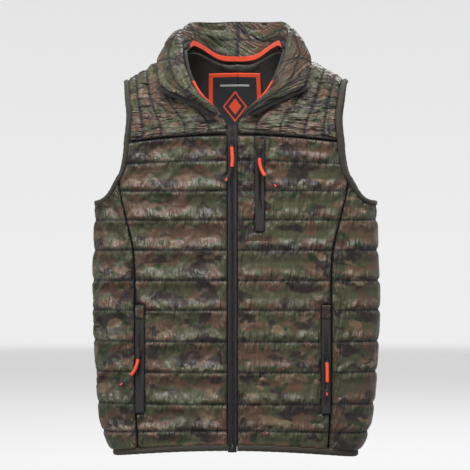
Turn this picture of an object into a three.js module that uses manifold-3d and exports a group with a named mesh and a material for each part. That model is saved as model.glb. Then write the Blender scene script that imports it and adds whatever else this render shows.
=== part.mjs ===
// A sleeveless quilted vest, as worn: padded panels over a lining, a collar whose fronts are folded
// outwards as lapels, and four zips whose sliders and pulls move. Millimetres, +Z up, front towards -Y.
import * as THREE from "three";
import { mergeVertices } from "three/addons/utils/BufferGeometryUtils.js";
import Module from "manifold-3d";

const wasm = await Module();
wasm.setup();

// ---- driving dimensions -------------------------------------------------------------------------
const HALF_WIDTH = 256; // half of the body's width at the chest
const DEPTH = 88; // from the middle plane to the front or the back
const SECTION_POWER = 2.6; // 2 is an ellipse, more is squarer
const HEM_RISE = 14; // the hem's middle is this much above its side corners
const YOKE_Z = 576; // the seam between body and yoke, at the middle
const YOKE_DROP = 14; // and how far it falls by the armhole
const NECK_SIDE = [98, 741]; // where collar and shoulder meet: x, z
const SHOULDER_FALL = 0.602; // fall of the shoulder line per unit of width
const NECK_RISE = 0.45; // its slope over the neck
const SHOULDER_Y = 5; // the shoulder seam lies just behind the middle plane
const ORIGIN_Z = 700; // the wearer's shoulders, above the hem's corners

const PAD = 13; // thickness of a padded panel
const BAG_DEPTH = 14.1; // pocket bags lie under the padding
const CLOTH = 1; // thickness of lining, bag and tape solids
const LINING_DEPTH = 16;
const BINDING = 8; // width of the armhole and hem bindings
const BINDING_OUT = 0.5; // and how far they stand out over the panels
const SEAM = 0.3; // half of the gap between neighbours
const ZIP_EDGE = 8.5; // panel edge beside the main zip
const TAPE_WIDTH = 7;
const COLLAR_LAYER = 5; // thickness of each collar layer
const BACK_NECK_DEG = 42; // where the back yoke ends at the middle, along its shoulder arc
const LABEL = { left: -55, right: 44, low: 597, high: 700 };

const WELT_WIDTH = 16;
const WELT_CORNER = 4; // the welt reaches this far below its zip
const RECESS = 6; // depth of the channel that a pocket zip lies in
const TEETH_HALF = 2.1; // half width of a pocket zip's chain
const SLOT = 5.2; // opening of the welt
const SLIDER = { width: 8.6, length: 12, low: -1.6, high: 0.6 };
const BRIDGE = { width: 2, reach: 4, bar: 0.8, high: 3.4 };
const TAB = { width: 5.6, length: 9, thick: 1, eye: 7.6 };
const CORD = 2.4;
const SLEEVE = { outer: 6.4, bore: 3 };
const EYE_DEPTH = 3.7; // height of a hanging pull over the panel, at the tab's eye
const END = { width: 8, length: 15, thick: 3.2 };

const COLOUR = { shell: 0x4b4739, lining: 0x2a2725, trim: 0x3c372f, zip: 0x302b2c, metal: 0x8a8a86,
  orange: 0xe8502a, label: 0x1c1e22, cord: 0x17171a };

// ---- solids from rows of points -----------------------------------------------------------------
const V = (x, y, z) => new THREE.Vector3(x, y, z);
const mix = (a, b, t) => a + (b - a) * t;
const steps = (n, from = 0, to = 1) => Array.from({ length: n + 1 }, (_, i) => mix(from, to, i / n));

// Skin over a row of sections, each an even list of points whose two halves face each other.
function loft(sections, closed = false) {
  const m = sections[0].length, rows = sections.length, faces = [];
  const at = (i, j) => (i % rows) * m + (j % m);
  const quad = (a, b, c, d) => faces.push(a, b, c, a, c, d);
  for (let i = 0; i < (closed ? rows : rows - 1); i++)
    for (let j = 0; j < m; j++) quad(at(i, j), at(i, j + 1), at(i + 1, j + 1), at(i + 1, j));
  for (let j = 0; !closed && j < m / 2 - 1; j++) {
    quad(at(0, m - 1 - j), at(0, m - 2 - j), at(0, j + 1), at(0, j));
    quad(at(rows - 1, j), at(rows - 1, j + 1), at(rows - 1, m - 2 - j), at(rows - 1, m - 1 - j));
  }
  const g = new THREE.BufferGeometry().setFromPoints(sections.flat());
  g.setIndex(faces);
  return volume(g) < 0 ? turned(g) : g;
}

function volume(g) {
  const p = g.getAttribute("position"), a = V(), b = V(), c = V();
  let sum = 0;
  for (let i = 0; i < g.index.count; i += 3) {
    a.fromBufferAttribute(p, g.index.getX(i));
    b.fromBufferAttribute(p, g.index.getX(i + 1));
    c.fromBufferAttribute(p, g.index.getX(i + 2));
    sum += a.dot(b.cross(c));
  }
  return sum / 6;
}

function turned(g) {
  const f = g.index.array;
  for (let i = 0; i < f.length; i += 3) [f[i], f[i + 1]] = [f[i + 1], f[i]];
  return g;
}

// A slab between two depths under a surface: rows of { p, n }, point and outward normal.
function slab(rows, near, far) {
  const under = (s, d) => s.p.clone().addScaledVector(s.n, -d);
  return loft(rows.map((row) =>
    [...row.map((s) => under(s, near)), ...row.map((s) => under(s, far)).reverse()]));
}

const asSolid = (g) => {
  const bare = g.index ? g.clone() : mergeVertices(new THREE.BufferGeometry()
    .setAttribute("position", g.getAttribute("position")), 1e-4);
  const m = bare.index.array;
  return new wasm.Manifold(new wasm.Mesh({ numProp: 3,
    vertProperties: new Float32Array(bare.getAttribute("position").array),
    triVerts: new Uint32Array(m) }));
};
const fromSolid = (s) => {
  const m = s.getMesh();
  return new THREE.BufferGeometry()
    .setAttribute("position", new THREE.BufferAttribute(new Float32Array(m.vertProperties), 3))
    .setIndex(new THREE.BufferAttribute(new Uint32Array(m.triVerts), 1));
};
const bareOf = (g) => {
  g.deleteAttribute("normal");
  g.deleteAttribute("uv");
  return mergeVertices(g, 1e-4);
};

// ---- the surface of the body --------------------------------------------------------------------
// A smooth curve y(x) through a few points.
function through(points) {
  const curve = new THREE.CatmullRomCurve3(points.map(([x, y]) => V(x, y, 0)), false, "centripetal");
  const fine = curve.getPoints(240);
  return (x) => {
    let i = fine.findIndex((q) => q.x >= x);
    if (i < 0) return fine.at(-1).y;
    if (i === 0) return fine[0].y;
    const a = fine[i - 1], b = fine[i];
    return mix(a.y, b.y, (x - a.x) / (b.x - a.x));
  };
}

const W = HALF_WIDTH / 256; // scales the outlines below with the chest
const halfWidth = through([[0, 220 * W], [35, 238 * W], [80, 249 * W], [160, 256 * W], [281, 261 * W],
  [370, 258 * W], [461, 256 * W], [760, 256 * W]]);
// Side edge of the front and back panels by height: the side seam, then the edge under the armhole binding.
const panelEdge = through([[0, 171 * W], [78, 175 * W], [265, 176.5 * W], [349, 178 * W],
  [382, 182 * W], [441, 197 * W], [494, 207 * W], [506, 201 * W], [520, 196.5 * W], [560, 190.5 * W],
  [YOKE_Z, 190 * W]]);
const armEdge = through([[0, 190 * W], [14, 186.5 * W], [24, 186 * W], [43, 190.5 * W], [90, 198.5 * W]]);
// The line on which each front folds outwards, by angle along the shoulder arc.
const foldEdge = through([[0, ZIP_EDGE], [5, ZIP_EDGE], [9, 15], [17.6, 42], [23.8, 60], [35, 76],
  [44, 84], [60, 92], [90, NECK_SIDE[0]]]);
const UNDERARM = 453; // lowest point of the side panel's top edge
const CORNER_Z = 494; // where the side seams meet the armhole binding
const underarm = (x) => {
  const k = Math.max(0, (HALF_WIDTH - Math.abs(x)) / (HALF_WIDTH - panelEdge(CORNER_Z)));
  return mix(UNDERARM, CORNER_Z, k ** 2.1);
};

const seamZ = (x) => YOKE_Z - YOKE_DROP * (x / (200 * W)) ** 2;
const shoulderZ = (x) => {
  const [nx, nz] = NECK_SIDE, ax = Math.abs(x);
  return ax > nx ? nz - (ax - nx) * SHOULDER_FALL : nz + (nx - ax) * NECK_RISE;
};
const hemLift = (x, z) => HEM_RISE * Math.max(0, 1 - (x / (220 * W)) ** 2) * Math.max(0, 1 - z / 110) ** 2;
const sectionY = (x, a) => DEPTH * Math.max(0, 1 - Math.abs(x / a) ** SECTION_POWER) ** (1 / SECTION_POWER);

// The three kinds of surface: face -1 is the front and +1 the back; hand -1 or +1 picks the side.
const low = (face) => (x, z) => V(x, face * sectionY(x, halfWidth(z)), z + hemLift(x, z));
const high = (face) => (x, deg) => {
  const s = Math.sin(deg * Math.PI / 180), c = Math.cos(deg * Math.PI / 180);
  const y = face * sectionY(x, halfWidth(YOKE_Z));
  return V(x, mix(SHOULDER_Y, y, c), mix(seamZ(x), shoulderZ(x), s));
};
const side = (hand) => (t, z) => {
  const a = halfWidth(z), c = Math.abs(Math.cos(t)) ** (2 / SECTION_POWER);
  return V(hand * a * c, -Math.sign(t) * DEPTH * Math.abs(Math.sin(t)) ** (2 / SECTION_POWER),
    z + hemLift(a * c, z));
};

// Point and outward normal of a surface, by small steps along it.
function spot(surface, u, v, du, dv) {
  const p = surface(u, v);
  const a = surface(u + du, v).sub(surface(u - du, v));
  const b = surface(u, v + dv).sub(surface(u, v - dv));
  const n = a.cross(b).normalize();
  if (n.dot(V(p.x, p.y, 0).add(V(0, 0, p.z > YOKE_Z + 60 ? 60 : 0))) < 0) n.negate();
  return { p, n };
}
const lowSpot = (face, x, z) => spot(low(face), x, z, 0.5, 0.5);
const highSpot = (face, x, deg) => spot(high(face), x, deg, 0.5, 0.2);
// Angle along the shoulder arc at which it passes a height.
const arcAt = (x, z) => {
  const s = Math.min(1, Math.max(0, (z - seamZ(x)) / (shoulderZ(x) - seamZ(x))));
  return Math.asin(s) * 180 / Math.PI;
};
const sideSpot = (hand, t, z) => spot(side(hand), t, z, 0.01, 0.5);
const seamAngle = (z) => Math.acos((panelEdge(z) / halfWidth(z)) ** (SECTION_POWER / 2));

// ---- rows of spots for each panel ---------------------------------------------------------------
// Along the hem every layer is cut level.
const level = (row) => row.map(({ p, n }) => ({ p, n: n.clone().setZ(0).normalize() }));
const atHem = (rows) => [level(rows[0]), ...rows.slice(1)];
const SIDE_HEIGHTS = [80, 170, 265, 349, 400, 450]; // rows of all body panels
const ARM_HEIGHTS = [506, 520, 545]; // and of the front and back beside the armholes
const HEIGHTS = [...SIDE_HEIGHTS, CORNER_Z, ...ARM_HEIGHTS];
const HEM_TOP = BINDING + SEAM;
// Rows bend from level at the side corner to the yoke seam's curve.
const bodySpot = (face, x, z) => {
  const k = Math.max(0, (z - CORNER_Z) / (YOKE_Z - CORNER_Z));
  return lowSpot(face, x, z - k * (YOKE_Z - seamZ(x)));
};
const PANEL_COLS = 8;
const frontRow = (hand, cols, z) =>
  cols.map((u) => bodySpot(-1, hand * mix(ZIP_EDGE + SEAM, panelEdge(z) - SEAM, u), z));
const frontRows = (hand, cols) =>
  atHem([HEM_TOP, ...HEIGHTS, YOKE_Z - SEAM].map((z) => frontRow(hand, cols, z)));
const FRONT_ARC = [0, 9, 17.6, 26, 36, 50, 68, 90];
const yokeRows = (hand, cols, edge = SEAM) => FRONT_ARC.map((deg, i) => cols.map((u) => {
  const d = i === 0 ? 0.15 : Math.min(deg, 90 - 0.3);
  return highSpot(-1, hand * mix(foldEdge(d) + edge, armEdge(d) - SEAM, u), d);
}));

// Columns of the back, with one where the collar meets the shoulder.
const neckShare = NECK_SIDE[0] / armEdge(90);
const NECK_COLS = [...steps(4, 0, neckShare), ...steps(4, neckShare, 1).slice(1)];
const backTop = (x) => {
  const k = Math.min(1, Math.abs(x) / NECK_SIDE[0]);
  return BACK_NECK_DEG + (90 - BACK_NECK_DEG) * k ** 2.2;
};
const bothWays = [...NECK_COLS.slice(1).map((u) => -u).reverse(), ...NECK_COLS];
const BACK_ARC = steps(8);
const backYokeRows = BACK_ARC.map((v, i) => bothWays.map((u) => {
  const top = Math.min(backTop(u * armEdge(90)), 90 - 0.3);
  const deg = i === 0 ? 0.15 : v * top;
  return highSpot(1, u * (armEdge(deg) - SEAM), deg);
}));
const backRows = atHem([HEM_TOP, ...HEIGHTS, YOKE_Z - SEAM].map((z) =>
  bothWays.map((u) => bodySpot(1, u * (panelEdge(z) - SEAM), z))));

function sideRow(hand, z, n) {
  const gap = SEAM / 70; // as an angle
  return steps(n, 1, -1).map((w) => {
    let h = z;
    if (z === "top") h = underarm(side(1)(seamAngle(CORNER_Z) * w, CORNER_Z).x);
    const t = (seamAngle(h) - gap) * w;
    return sideSpot(hand, t, h);
  });
}
const sideRows = (hand) => atHem([HEM_TOP, ...SIDE_HEIGHTS, "top"].map((z) => sideRow(hand, z, 8)));

// ---- the vest -----------------------------------------------------------------------------------
const vest = new THREE.Group();
const body = new THREE.Group();
body.position.z = -ORIGIN_Z;
vest.add(body);

const paint = (color, roughness, metalness = 0) => new THREE.MeshStandardMaterial({ color, roughness, metalness });
const SHELL = paint(COLOUR.shell, 0.45), LINING = paint(COLOUR.lining, 0.6), TRIM = paint(COLOUR.trim, 0.7);
const ZIP = paint(COLOUR.zip, 0.6), METAL = paint(COLOUR.metal, 0.35, 1), ORANGE = paint(COLOUR.orange, 0.5);
const LABEL_CLOTH = paint(COLOUR.label, 0.6), CORD_CLOTH = paint(COLOUR.cord, 0.8);

function piece(name, geometry, material, parent = body) {
  const mesh = new THREE.Mesh(geometry, material);
  mesh.name = name;
  parent.add(mesh);
  return mesh;
}
const SIDES = [["left", -1], ["right", 1]]; // as seen from the front

// ---- zips: local frames with X across, Y inwards, Z up; depth 0 is the crest of the panel --------
function boxAt(x0, x1, d0, d1, z0, z1) {
  const g = new THREE.BoxGeometry(x1 - x0, d1 - d0, z1 - z0);
  return g.translate((x0 + x1) / 2, -(d0 + d1) / 2, (z0 + z1) / 2);
}
// A flat outline in X and Z with holes, given a thickness between two depths.
function plate(outline, holes, d0, d1) {
  const loop = (c, pts) => pts.forEach(([x, z], i) => (i ? c.lineTo(x, z) : c.moveTo(x, z)));
  const shape = new THREE.Shape();
  loop(shape, outline);
  for (const h of holes) {
    const path = new THREE.Path();
    loop(path, h);
    shape.holes.push(path);
  }
  const g = new THREE.ExtrudeGeometry(shape, { depth: d1 - d0, bevelEnabled: false });
  return bareOf(g.rotateX(Math.PI / 2).translate(0, -d0, 0));
}
const rect = (x0, x1, z0, z1) => [[x0, z0], [x1, z0], [x1, z1], [x0, z1]];
const cut = (rw, z0, z1, c = 1.6) => [[-rw + c, z0], [rw - c, z0], [rw, z0 + c], [rw, z1 - c], [rw - c, z1],
  [-rw + c, z1], [-rw, z1 - c], [-rw, z0 + c]];

function rod(points, radius, sides, count, bore = 0) {
  const path = new THREE.CatmullRomCurve3(points.map(([x, d, z]) => V(x, -d, z)));
  const ring = (r) => steps(sides).slice(0, -1).map((k) =>
    new THREE.Vector2(r * Math.cos(2 * Math.PI * k), r * Math.sin(2 * Math.PI * k)));
  const shape = new THREE.Shape(ring(radius));
  if (bore) shape.holes.push(new THREE.Path(ring(bore)));
  return bareOf(new THREE.ExtrudeGeometry(shape, { steps: count, extrudePath: path, bevelEnabled: false }));
}

// Slider, tab and pull of one zip; the route of the pull's cord is a list of [x, depth, z] from the eye down.
function addPull(frame, name, z, route, sleeveSpan) {
  const s = SLIDER, b = BRIDGE, half = TAB.width / 2;
  const bridge = new THREE.Shape([[-b.reach, s.high - 0.4], [-b.reach, b.high], [b.reach, b.high],
    [b.reach, s.high - 0.4], [b.reach - b.bar, s.high - 0.4], [b.reach - b.bar, b.high - b.bar],
    [b.bar - b.reach, b.high - b.bar], [b.bar - b.reach, s.high - 0.4]].map(([p, q]) => new THREE.Vector2(p, q)));
  // The bridge's outline is in Z and depth, and its width runs along X.
  const arch = new THREE.ExtrudeGeometry(bridge, { depth: b.width, bevelEnabled: false });
  arch.applyMatrix4(new THREE.Matrix4().makeBasis(V(0, 0, 1), V(0, -1, 0), V(1, 0, 0)));
  arch.translate(-b.width / 2, 0, 0);
  const blockOf = plate(cut(s.width / 2, -s.length / 2, s.length / 2), [], s.low, s.high);
  const joined = asSolid(blockOf).add(asSolid(bareOf(arch)));
  const slider = piece(name + "_slider", fromSolid(joined), METAL, frame);
  slider.position.z = z;

  const axisDepth = (s.high + b.high - b.bar) / 2, hole = b.reach + 1;
  const tab = piece(name + "_pull_tab", plate(cut(half, -TAB.length, 0.5, 0.8),
    [rect(-b.width / 2 - 0.6, b.width / 2 + 0.6, -hole, -0.5), rect(-1.4, 1.4, -TAB.eye - 0.8, -TAB.eye + 0.8)],
    axisDepth - TAB.thick / 2, axisDepth + TAB.thick / 2), METAL, frame);
  tab.position.z = z;

  piece(name + "_pull_cord", rod(route, CORD / 2, 8, 10), CORD_CLOTH, frame);
  piece(name + "_pull_sleeve", rod(sleeveSpan, SLEEVE.outer / 2, 8, 5, SLEEVE.bore / 2), ORANGE, frame);

  const tip = route.at(-1), before = route.at(-2);
  const away = V(tip[0] - before[0], 0, tip[2] - before[2]).normalize();
  const end = piece(name + "_pull_end", plate(cut(END.width / 2, -END.length, 0, 2.2), [],
    -END.thick / 2, END.thick / 2), CORD_CLOTH, frame);
  end.position.set(tip[0] + away.x * 2 * SEAM, -tip[1], tip[2] + away.z * 2 * SEAM);
  end.rotation.y = Math.atan2(-away.x, -away.z);
}

function zipFrame(x, z) {
  const { p, n } = lowSpot(-1, x, z);
  n.setZ(0).normalize();
  const group = new THREE.Group();
  const across = V(-n.y, n.x, 0);
  group.applyMatrix4(new THREE.Matrix4().makeBasis(across, n.clone().negate(), V(0, 0, 1)));
  group.position.set(p.x, p.y, 0);
  body.add(group);
  return group;
}

// Pocket zips: centre, lower and upper ends of the zip, top of the welt, slider, height of the bag, columns of the
// front panel between which the bag lies, and the pull's route. The hand pockets' welts run beside the side seams.
const handX = panelEdge(165) - WELT_WIDTH / 2 - 2 * SEAM;
const POCKETS = [
  { name: "left_pocket", x: -handX, low: 83, high: 247, top: 273, slider: 189, bag: [62, 240], columns: [1, 7],
    route: [[0, EYE_DEPTH, 181.4], [-0.5, 4, 177], [-3, 4.2, 166], [-8, 4.2, 155], [-14.5, 4.2, 146.5],
      [-20, 4, 141], [-25, 3.6, 137]], sleeve: [0.1, 0.7] },
  { name: "right_pocket", x: handX, low: 83, high: 247, top: 273, slider: 183, bag: [62, 240], columns: [1, 7],
    route: [[0, EYE_DEPTH, 175.4], [0, 4, 171], [0.6, 4.2, 160], [0.8, 4.2, 149], [0.8, 4.2, 138],
      [0.6, 4, 131], [0.4, 3.6, 125]], sleeve: [0.08, 0.78] },
  { name: "chest_pocket", x: 49, low: 408, high: 548, top: 572, slider: 547, bag: [400, 540], columns: [1, 7],
    route: [[0, EYE_DEPTH, 539.4], [0, 4, 535], [0.8, 4.2, 524], [4.5, 4.2, 512], [10.5, 4.2, 502],
      [16, 4, 496.5], [21, 3.6, 492]], sleeve: [0.1, 0.7] },
];

// The sleeve follows the stretch of the cord's route between two shares of its length.
function sleeveRoute(route, [from, to]) {
  const curve = new THREE.CatmullRomCurve3(route.map(([x, d, z]) => V(x, d, z)));
  return steps(4, from, to).map((t) => curve.getPointAt(t).toArray());
}

const frontCut = { left: [], right: [] };
for (const pocket of POCKETS) {
  const frame = zipFrame(pocket.x, (pocket.low + pocket.high) / 2);
  const { low: z0, high: z1, top, slider } = pocket, half = WELT_WIDTH / 2, slot = SLOT / 2;
  // The chain stands open above a slider that is part of the way down.
  const open = slider + SLIDER.length < z1 - SLIDER.length / 2 ? [rect(-1, 1, slider + 3, z1 - 2)] : [];
  piece(pocket.name + "_zip_tape", plate(rect(-TAPE_WIDTH, TAPE_WIDTH, z0 - 2, z1), open, -5.5, -4.7), ZIP, frame);
  piece(pocket.name + "_zip_teeth", plate(rect(-TEETH_HALF, TEETH_HALF, z0 + 0.5, z1 - 0.5), open, -4.4, -2.3), ZIP, frame);
  piece(pocket.name + "_welt", plate(rect(-half, half, z0 - WELT_CORNER, top), [rect(-slot, slot, z0, z1)], -3.9, -2.1), TRIM, frame);
  addPull(frame, pocket.name, slider, pocket.route, sleeveRoute(pocket.route, pocket.sleeve));
  const channel = boxAt(-half - 2 * SEAM, half + 2 * SEAM, -RECESS, RECESS,
    z0 - WELT_CORNER - 2 * SEAM, top + 2 * SEAM);
  frame.updateMatrixWorld(true);
  const place = new THREE.Matrix4().makeRotationFromEuler(frame.rotation).setPosition(frame.position);
  frontCut[pocket.x < 0 ? "left" : "right"].push(asSolid(bareOf(channel.applyMatrix4(place))));
  const hand = Math.sign(pocket.x), cols = steps(PANEL_COLS).slice(pocket.columns[0], pocket.columns[1] + 1);
  const rows = steps(4, ...pocket.bag).map((z) => frontRow(hand, cols, z));
  piece(pocket.name + "_bag", slab(rows, BAG_DEPTH, BAG_DEPTH + CLOTH), LINING);
}

// ---- shell, lining and bindings -----------------------------------------------------------------
// A lining's outer skin takes the same diagonals as the panel that it lies under.
const liningOf = (rows) => slab(rows, LINING_DEPTH + CLOTH, LINING_DEPTH);
for (const [name, hand] of SIDES) {
  let panel = asSolid(slab(frontRows(hand, steps(PANEL_COLS)), 0, PAD));
  for (const channel of frontCut[name]) panel = panel.subtract(channel);
  piece("front_panel_" + name, fromSolid(panel), SHELL);
  piece("front_yoke_" + name, slab(yokeRows(hand, steps(6)), 0, PAD), SHELL);
  piece("side_panel_" + name, slab(sideRows(hand), 0, PAD), SHELL);
  piece("side_lining_" + name, liningOf(sideRows(hand)), LINING);
  piece("front_lining_" + name,
    liningOf([...frontRows(hand, steps(6)), ...yokeRows(hand, steps(6), 2).slice(1)]), LINING);

  // Armhole binding: along the panel edges, from the shoulder down the front and up the back.
  const armSide = (face) => [YOKE_Z, ...ARM_HEIGHTS.toReversed()].map((z) => bodySpot(face, hand * panelEdge(z), z));
  const edge = [
    ...FRONT_ARC.slice(1).reverse().map((deg) => highSpot(-1, hand * armEdge(deg), deg)),
    ...armSide(-1),
    ...sideRow(hand, "top", 8),
    ...armSide(1).reverse(),
    ...BACK_ARC.slice(1, -1).map((v) => highSpot(1, hand * armEdge(90 * v), 90 * v)),
  ];
  const opening = V(hand * HALF_WIDTH, 0, mix(UNDERARM, shoulderZ(armEdge(90)), 0.5));
  const deep = -(LINING_DEPTH + CLOTH + BINDING_OUT);
  const sections = edge.map(({ p, n }, i) => {
    const run = edge[(i + 1) % edge.length].p.clone().sub(edge[(i + edge.length - 1) % edge.length].p);
    const out = run.cross(n).normalize();
    if (out.dot(opening.clone().sub(p)) < 0) out.negate();
    const at = (e, d) => p.clone().addScaledVector(out, e).addScaledVector(n, d);
    return [at(4 * SEAM, BINDING_OUT), at(BINDING, BINDING_OUT), at(BINDING, deep), at(4 * SEAM, deep)];
  });
  piece("armhole_binding_" + name, loft(sections, true), TRIM);
}
piece("back_panel", slab(backRows, 0, PAD), SHELL);
piece("back_yoke", slab(backYokeRows, 0, PAD), SHELL);
piece("back_lining", liningOf([...backRows, ...backYokeRows.slice(1)]), LINING);

// Hem binding: one strip round the bottom, open at the main zip.
const hemRow = (z) => [
  ...steps(8, ZIP_EDGE + SEAM, panelEdge(z)).map((x) => lowSpot(-1, x, z)),
  ...sideRow(1, z, 8).slice(1, -1),
  ...bothWays.toReversed().map((u) => lowSpot(1, u * panelEdge(z), z)),
  ...sideRow(-1, z, 8).slice(1, -1).reverse(),
  ...steps(8, panelEdge(z), ZIP_EDGE + SEAM).map((x) => lowSpot(-1, -x, z)),
];
// Its upper row faces the panels' lowest row, a gap below it.
const hemTop = hemRow(HEM_TOP).map(({ p, n }) => ({ p: p.sub(V(0, 0, 3 * SEAM)), n }));
piece("hem_binding", slab([level(hemRow(0)), level(hemTop)], -BINDING_OUT, LINING_DEPTH + CLOTH + BINDING_OUT), TRIM);

// ---- collar and lapels --------------------------------------------------------------------------
// Right half, from the tip of the opening to the middle of the back. Each station is the seam or fold, the crest
// and the free edge. The first six lie over the front yoke: [x, z, height above it]; the rest are [x, y, z].
const over = ([x, z, d]) => {
  const { p, n } = highSpot(-1, x, Math.min(89, arcAt(x, z)));
  return p.addScaledVector(n, d);
};
const NECK_LIFT = 4; // the collar stands this much above the back yoke edge
const backNeck = (x, dx, dy, dz) => {
  const { p, n } = highSpot(1, x, backTop(x));
  return p.addScaledVector(n.setZ(0).normalize(), -COLLAR_LAYER - 3 * SEAM).add(V(dx, dy, dz + NECK_LIFT));
};
const D = DEPTH / 88; // carries the roll over the shoulder along with the front
const STATIONS = [
  [over([17, 609, 6.5]), over([18, 607.5, 7]), over([19.5, 606, 6.5])],
  [over([42, 633, 6.5]), over([47, 631, 9]), over([54, 627, 6.5])],
  [over([60, 649, 6.5]), over([78, 649, 11]), over([94, 645, 6.5])],
  [over([69, 664, 6.5]), over([99, 667, 11]), over([127, 662, 6.5])],
  [over([79, 686, 6.5]), over([108, 690, 12]), over([134, 686, 6.5])],
  [over([87, 706, 7]), over([111, 714, 15]), over([134, 707, 7])],
  [V(94, -26 * D, 734), V(109, -30 * D, 753), V(128, -28 * D, 733)],
  [V(93, -2, 743), V(104, -3, 764), V(121, -6, 745)],
  [backNeck(91, 0, 0, 0), backNeck(91, 9, 3, 22), backNeck(91, 19, 7, 14)],
  [backNeck(72, 0, 0, 0), backNeck(72, 9, 6, 28), backNeck(72, 17, 15, 43)],
  [backNeck(38, 0, 0, 0), backNeck(38, 3, 6, 33), backNeck(38, 6, 14, 65)],
  [backNeck(0, 0, 0, 0), backNeck(0, 0, 5, 36), backNeck(0, 0, 12, 70)],
];
const flip = (p) => V(-p.x, p.y, p.z);
const around = [...STATIONS.map((row) => row.map(flip)), ...STATIONS.slice(0, -1).reverse()];
const lines = [0, 1, 2].map((k) => new THREE.CatmullRomCurve3(around.map((row) => row[k]), false, "centripetal"));
const collarAt = (v) => (s) => {
  const [a, m, b] = lines.map((c) => c.getPoint(s));
  return a.multiplyScalar((1 - v) * (1 - 2 * v)).addScaledVector(m, 4 * v * (1 - v)).addScaledVector(b, v * (2 * v - 1));
};
const collarSpot = (s, v) => {
  const p = collarAt(v)(s);
  const a = collarAt(v)(Math.min(1, s + 0.004)).sub(collarAt(v)(Math.max(0, s - 0.004)));
  const b = collarAt(Math.min(1, v + 0.02))(s).sub(collarAt(Math.max(0, v - 0.02))(s));
  return { p, n: a.cross(b).normalize() };
};
const collarRows = steps(38).map((s) => steps(4).map((v) => collarSpot(s, v)));
const facesIn = collarSpot(0.5, 0.5).n.y < 0 ? 1 : -1; // the side that lines the neck
const layer = (k) => slab(collarRows, k * (SEAM + COLLAR_LAYER), k * SEAM);
piece("collar_inner", layer(-facesIn), SHELL);
piece("collar_outer", layer(facesIn), SHELL);

// Orange tape: down the inside of each front edge, and over the seam at the back of the neck.
const TAPE = { front: 5, back: 9, depth: 7 };
const frontTape = (hand) => [13, 17.6, 24, 31, 39, 48, 60, 74].map((deg) => {
  const { p, n } = highSpot(-1, hand * (foldEdge(deg) - 3 * SEAM - TAPE.front / 2), deg);
  return { p: p.addScaledVector(n, -TAPE.depth), across: V(-hand, 0, 0), in: n.negate(), wide: TAPE.front };
});
const sideTape = (hand) => ({ p: V(hand * 87, 4, 734), across: V(-hand, 0, 1).normalize(),
  in: V(-hand, 0, -1).normalize(), wide: TAPE.front });
const backTape = steps(14, 0.37, 0.63).map((s) => {
  const { p, n } = collarSpot(s, 0);
  const inside = n.multiplyScalar(facesIn).setZ(0).normalize();
  return { p: p.addScaledVector(inside, COLLAR_LAYER + 4 * SEAM), across: V(0, 0, 1),
    in: inside, wide: TAPE.back };
});
const tapeRun = [...frontTape(-1), sideTape(-1), ...backTape, sideTape(1), ...frontTape(1).reverse()];
piece("neck_tape", loft(tapeRun.map(({ p, across, in: inside, wide }) => {
  const at = (w, t) => p.clone().addScaledVector(across, w * wide / 2).addScaledVector(inside, t * CLOTH);
  return [at(-1, 0), at(1, 0), at(1, 1), at(-1, 1)];
})), ORANGE);

// Hanger loop: a flat strip below the tape. Label: a patch on the back lining.
const onLining = (x, z, lift) => {
  const { p, n } = highSpot(1, x, arcAt(x, z));
  return { p: p.addScaledVector(n, -(LINING_DEPTH + CLOTH + lift)), n };
};
const LOOP = { left: -34, right: 42, ends: 716, middle: 706, width: 6, lift: 1.7 };
const loopRow = (dz) => steps(10, -1, 1).map((u) => {
  const z = mix(LOOP.middle, LOOP.ends, u ** 4);
  return onLining(mix(LOOP.left, LOOP.right, (u + 1) / 2), z + dz, LOOP.lift);
});
piece("hanger_loop", slab([loopRow(-LOOP.width / 2), loopRow(LOOP.width / 2)], 0, CLOTH), LINING);
const LABEL_LIFT = 1.6;
const labelRows = steps(5, LABEL.low, LABEL.high).map((z) =>
  steps(5, LABEL.left, LABEL.right).map((x) => onLining(x, z, LABEL_LIFT)));
piece("label", slab(labelRows, 0, CLOTH), LABEL_CLOTH);

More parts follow.
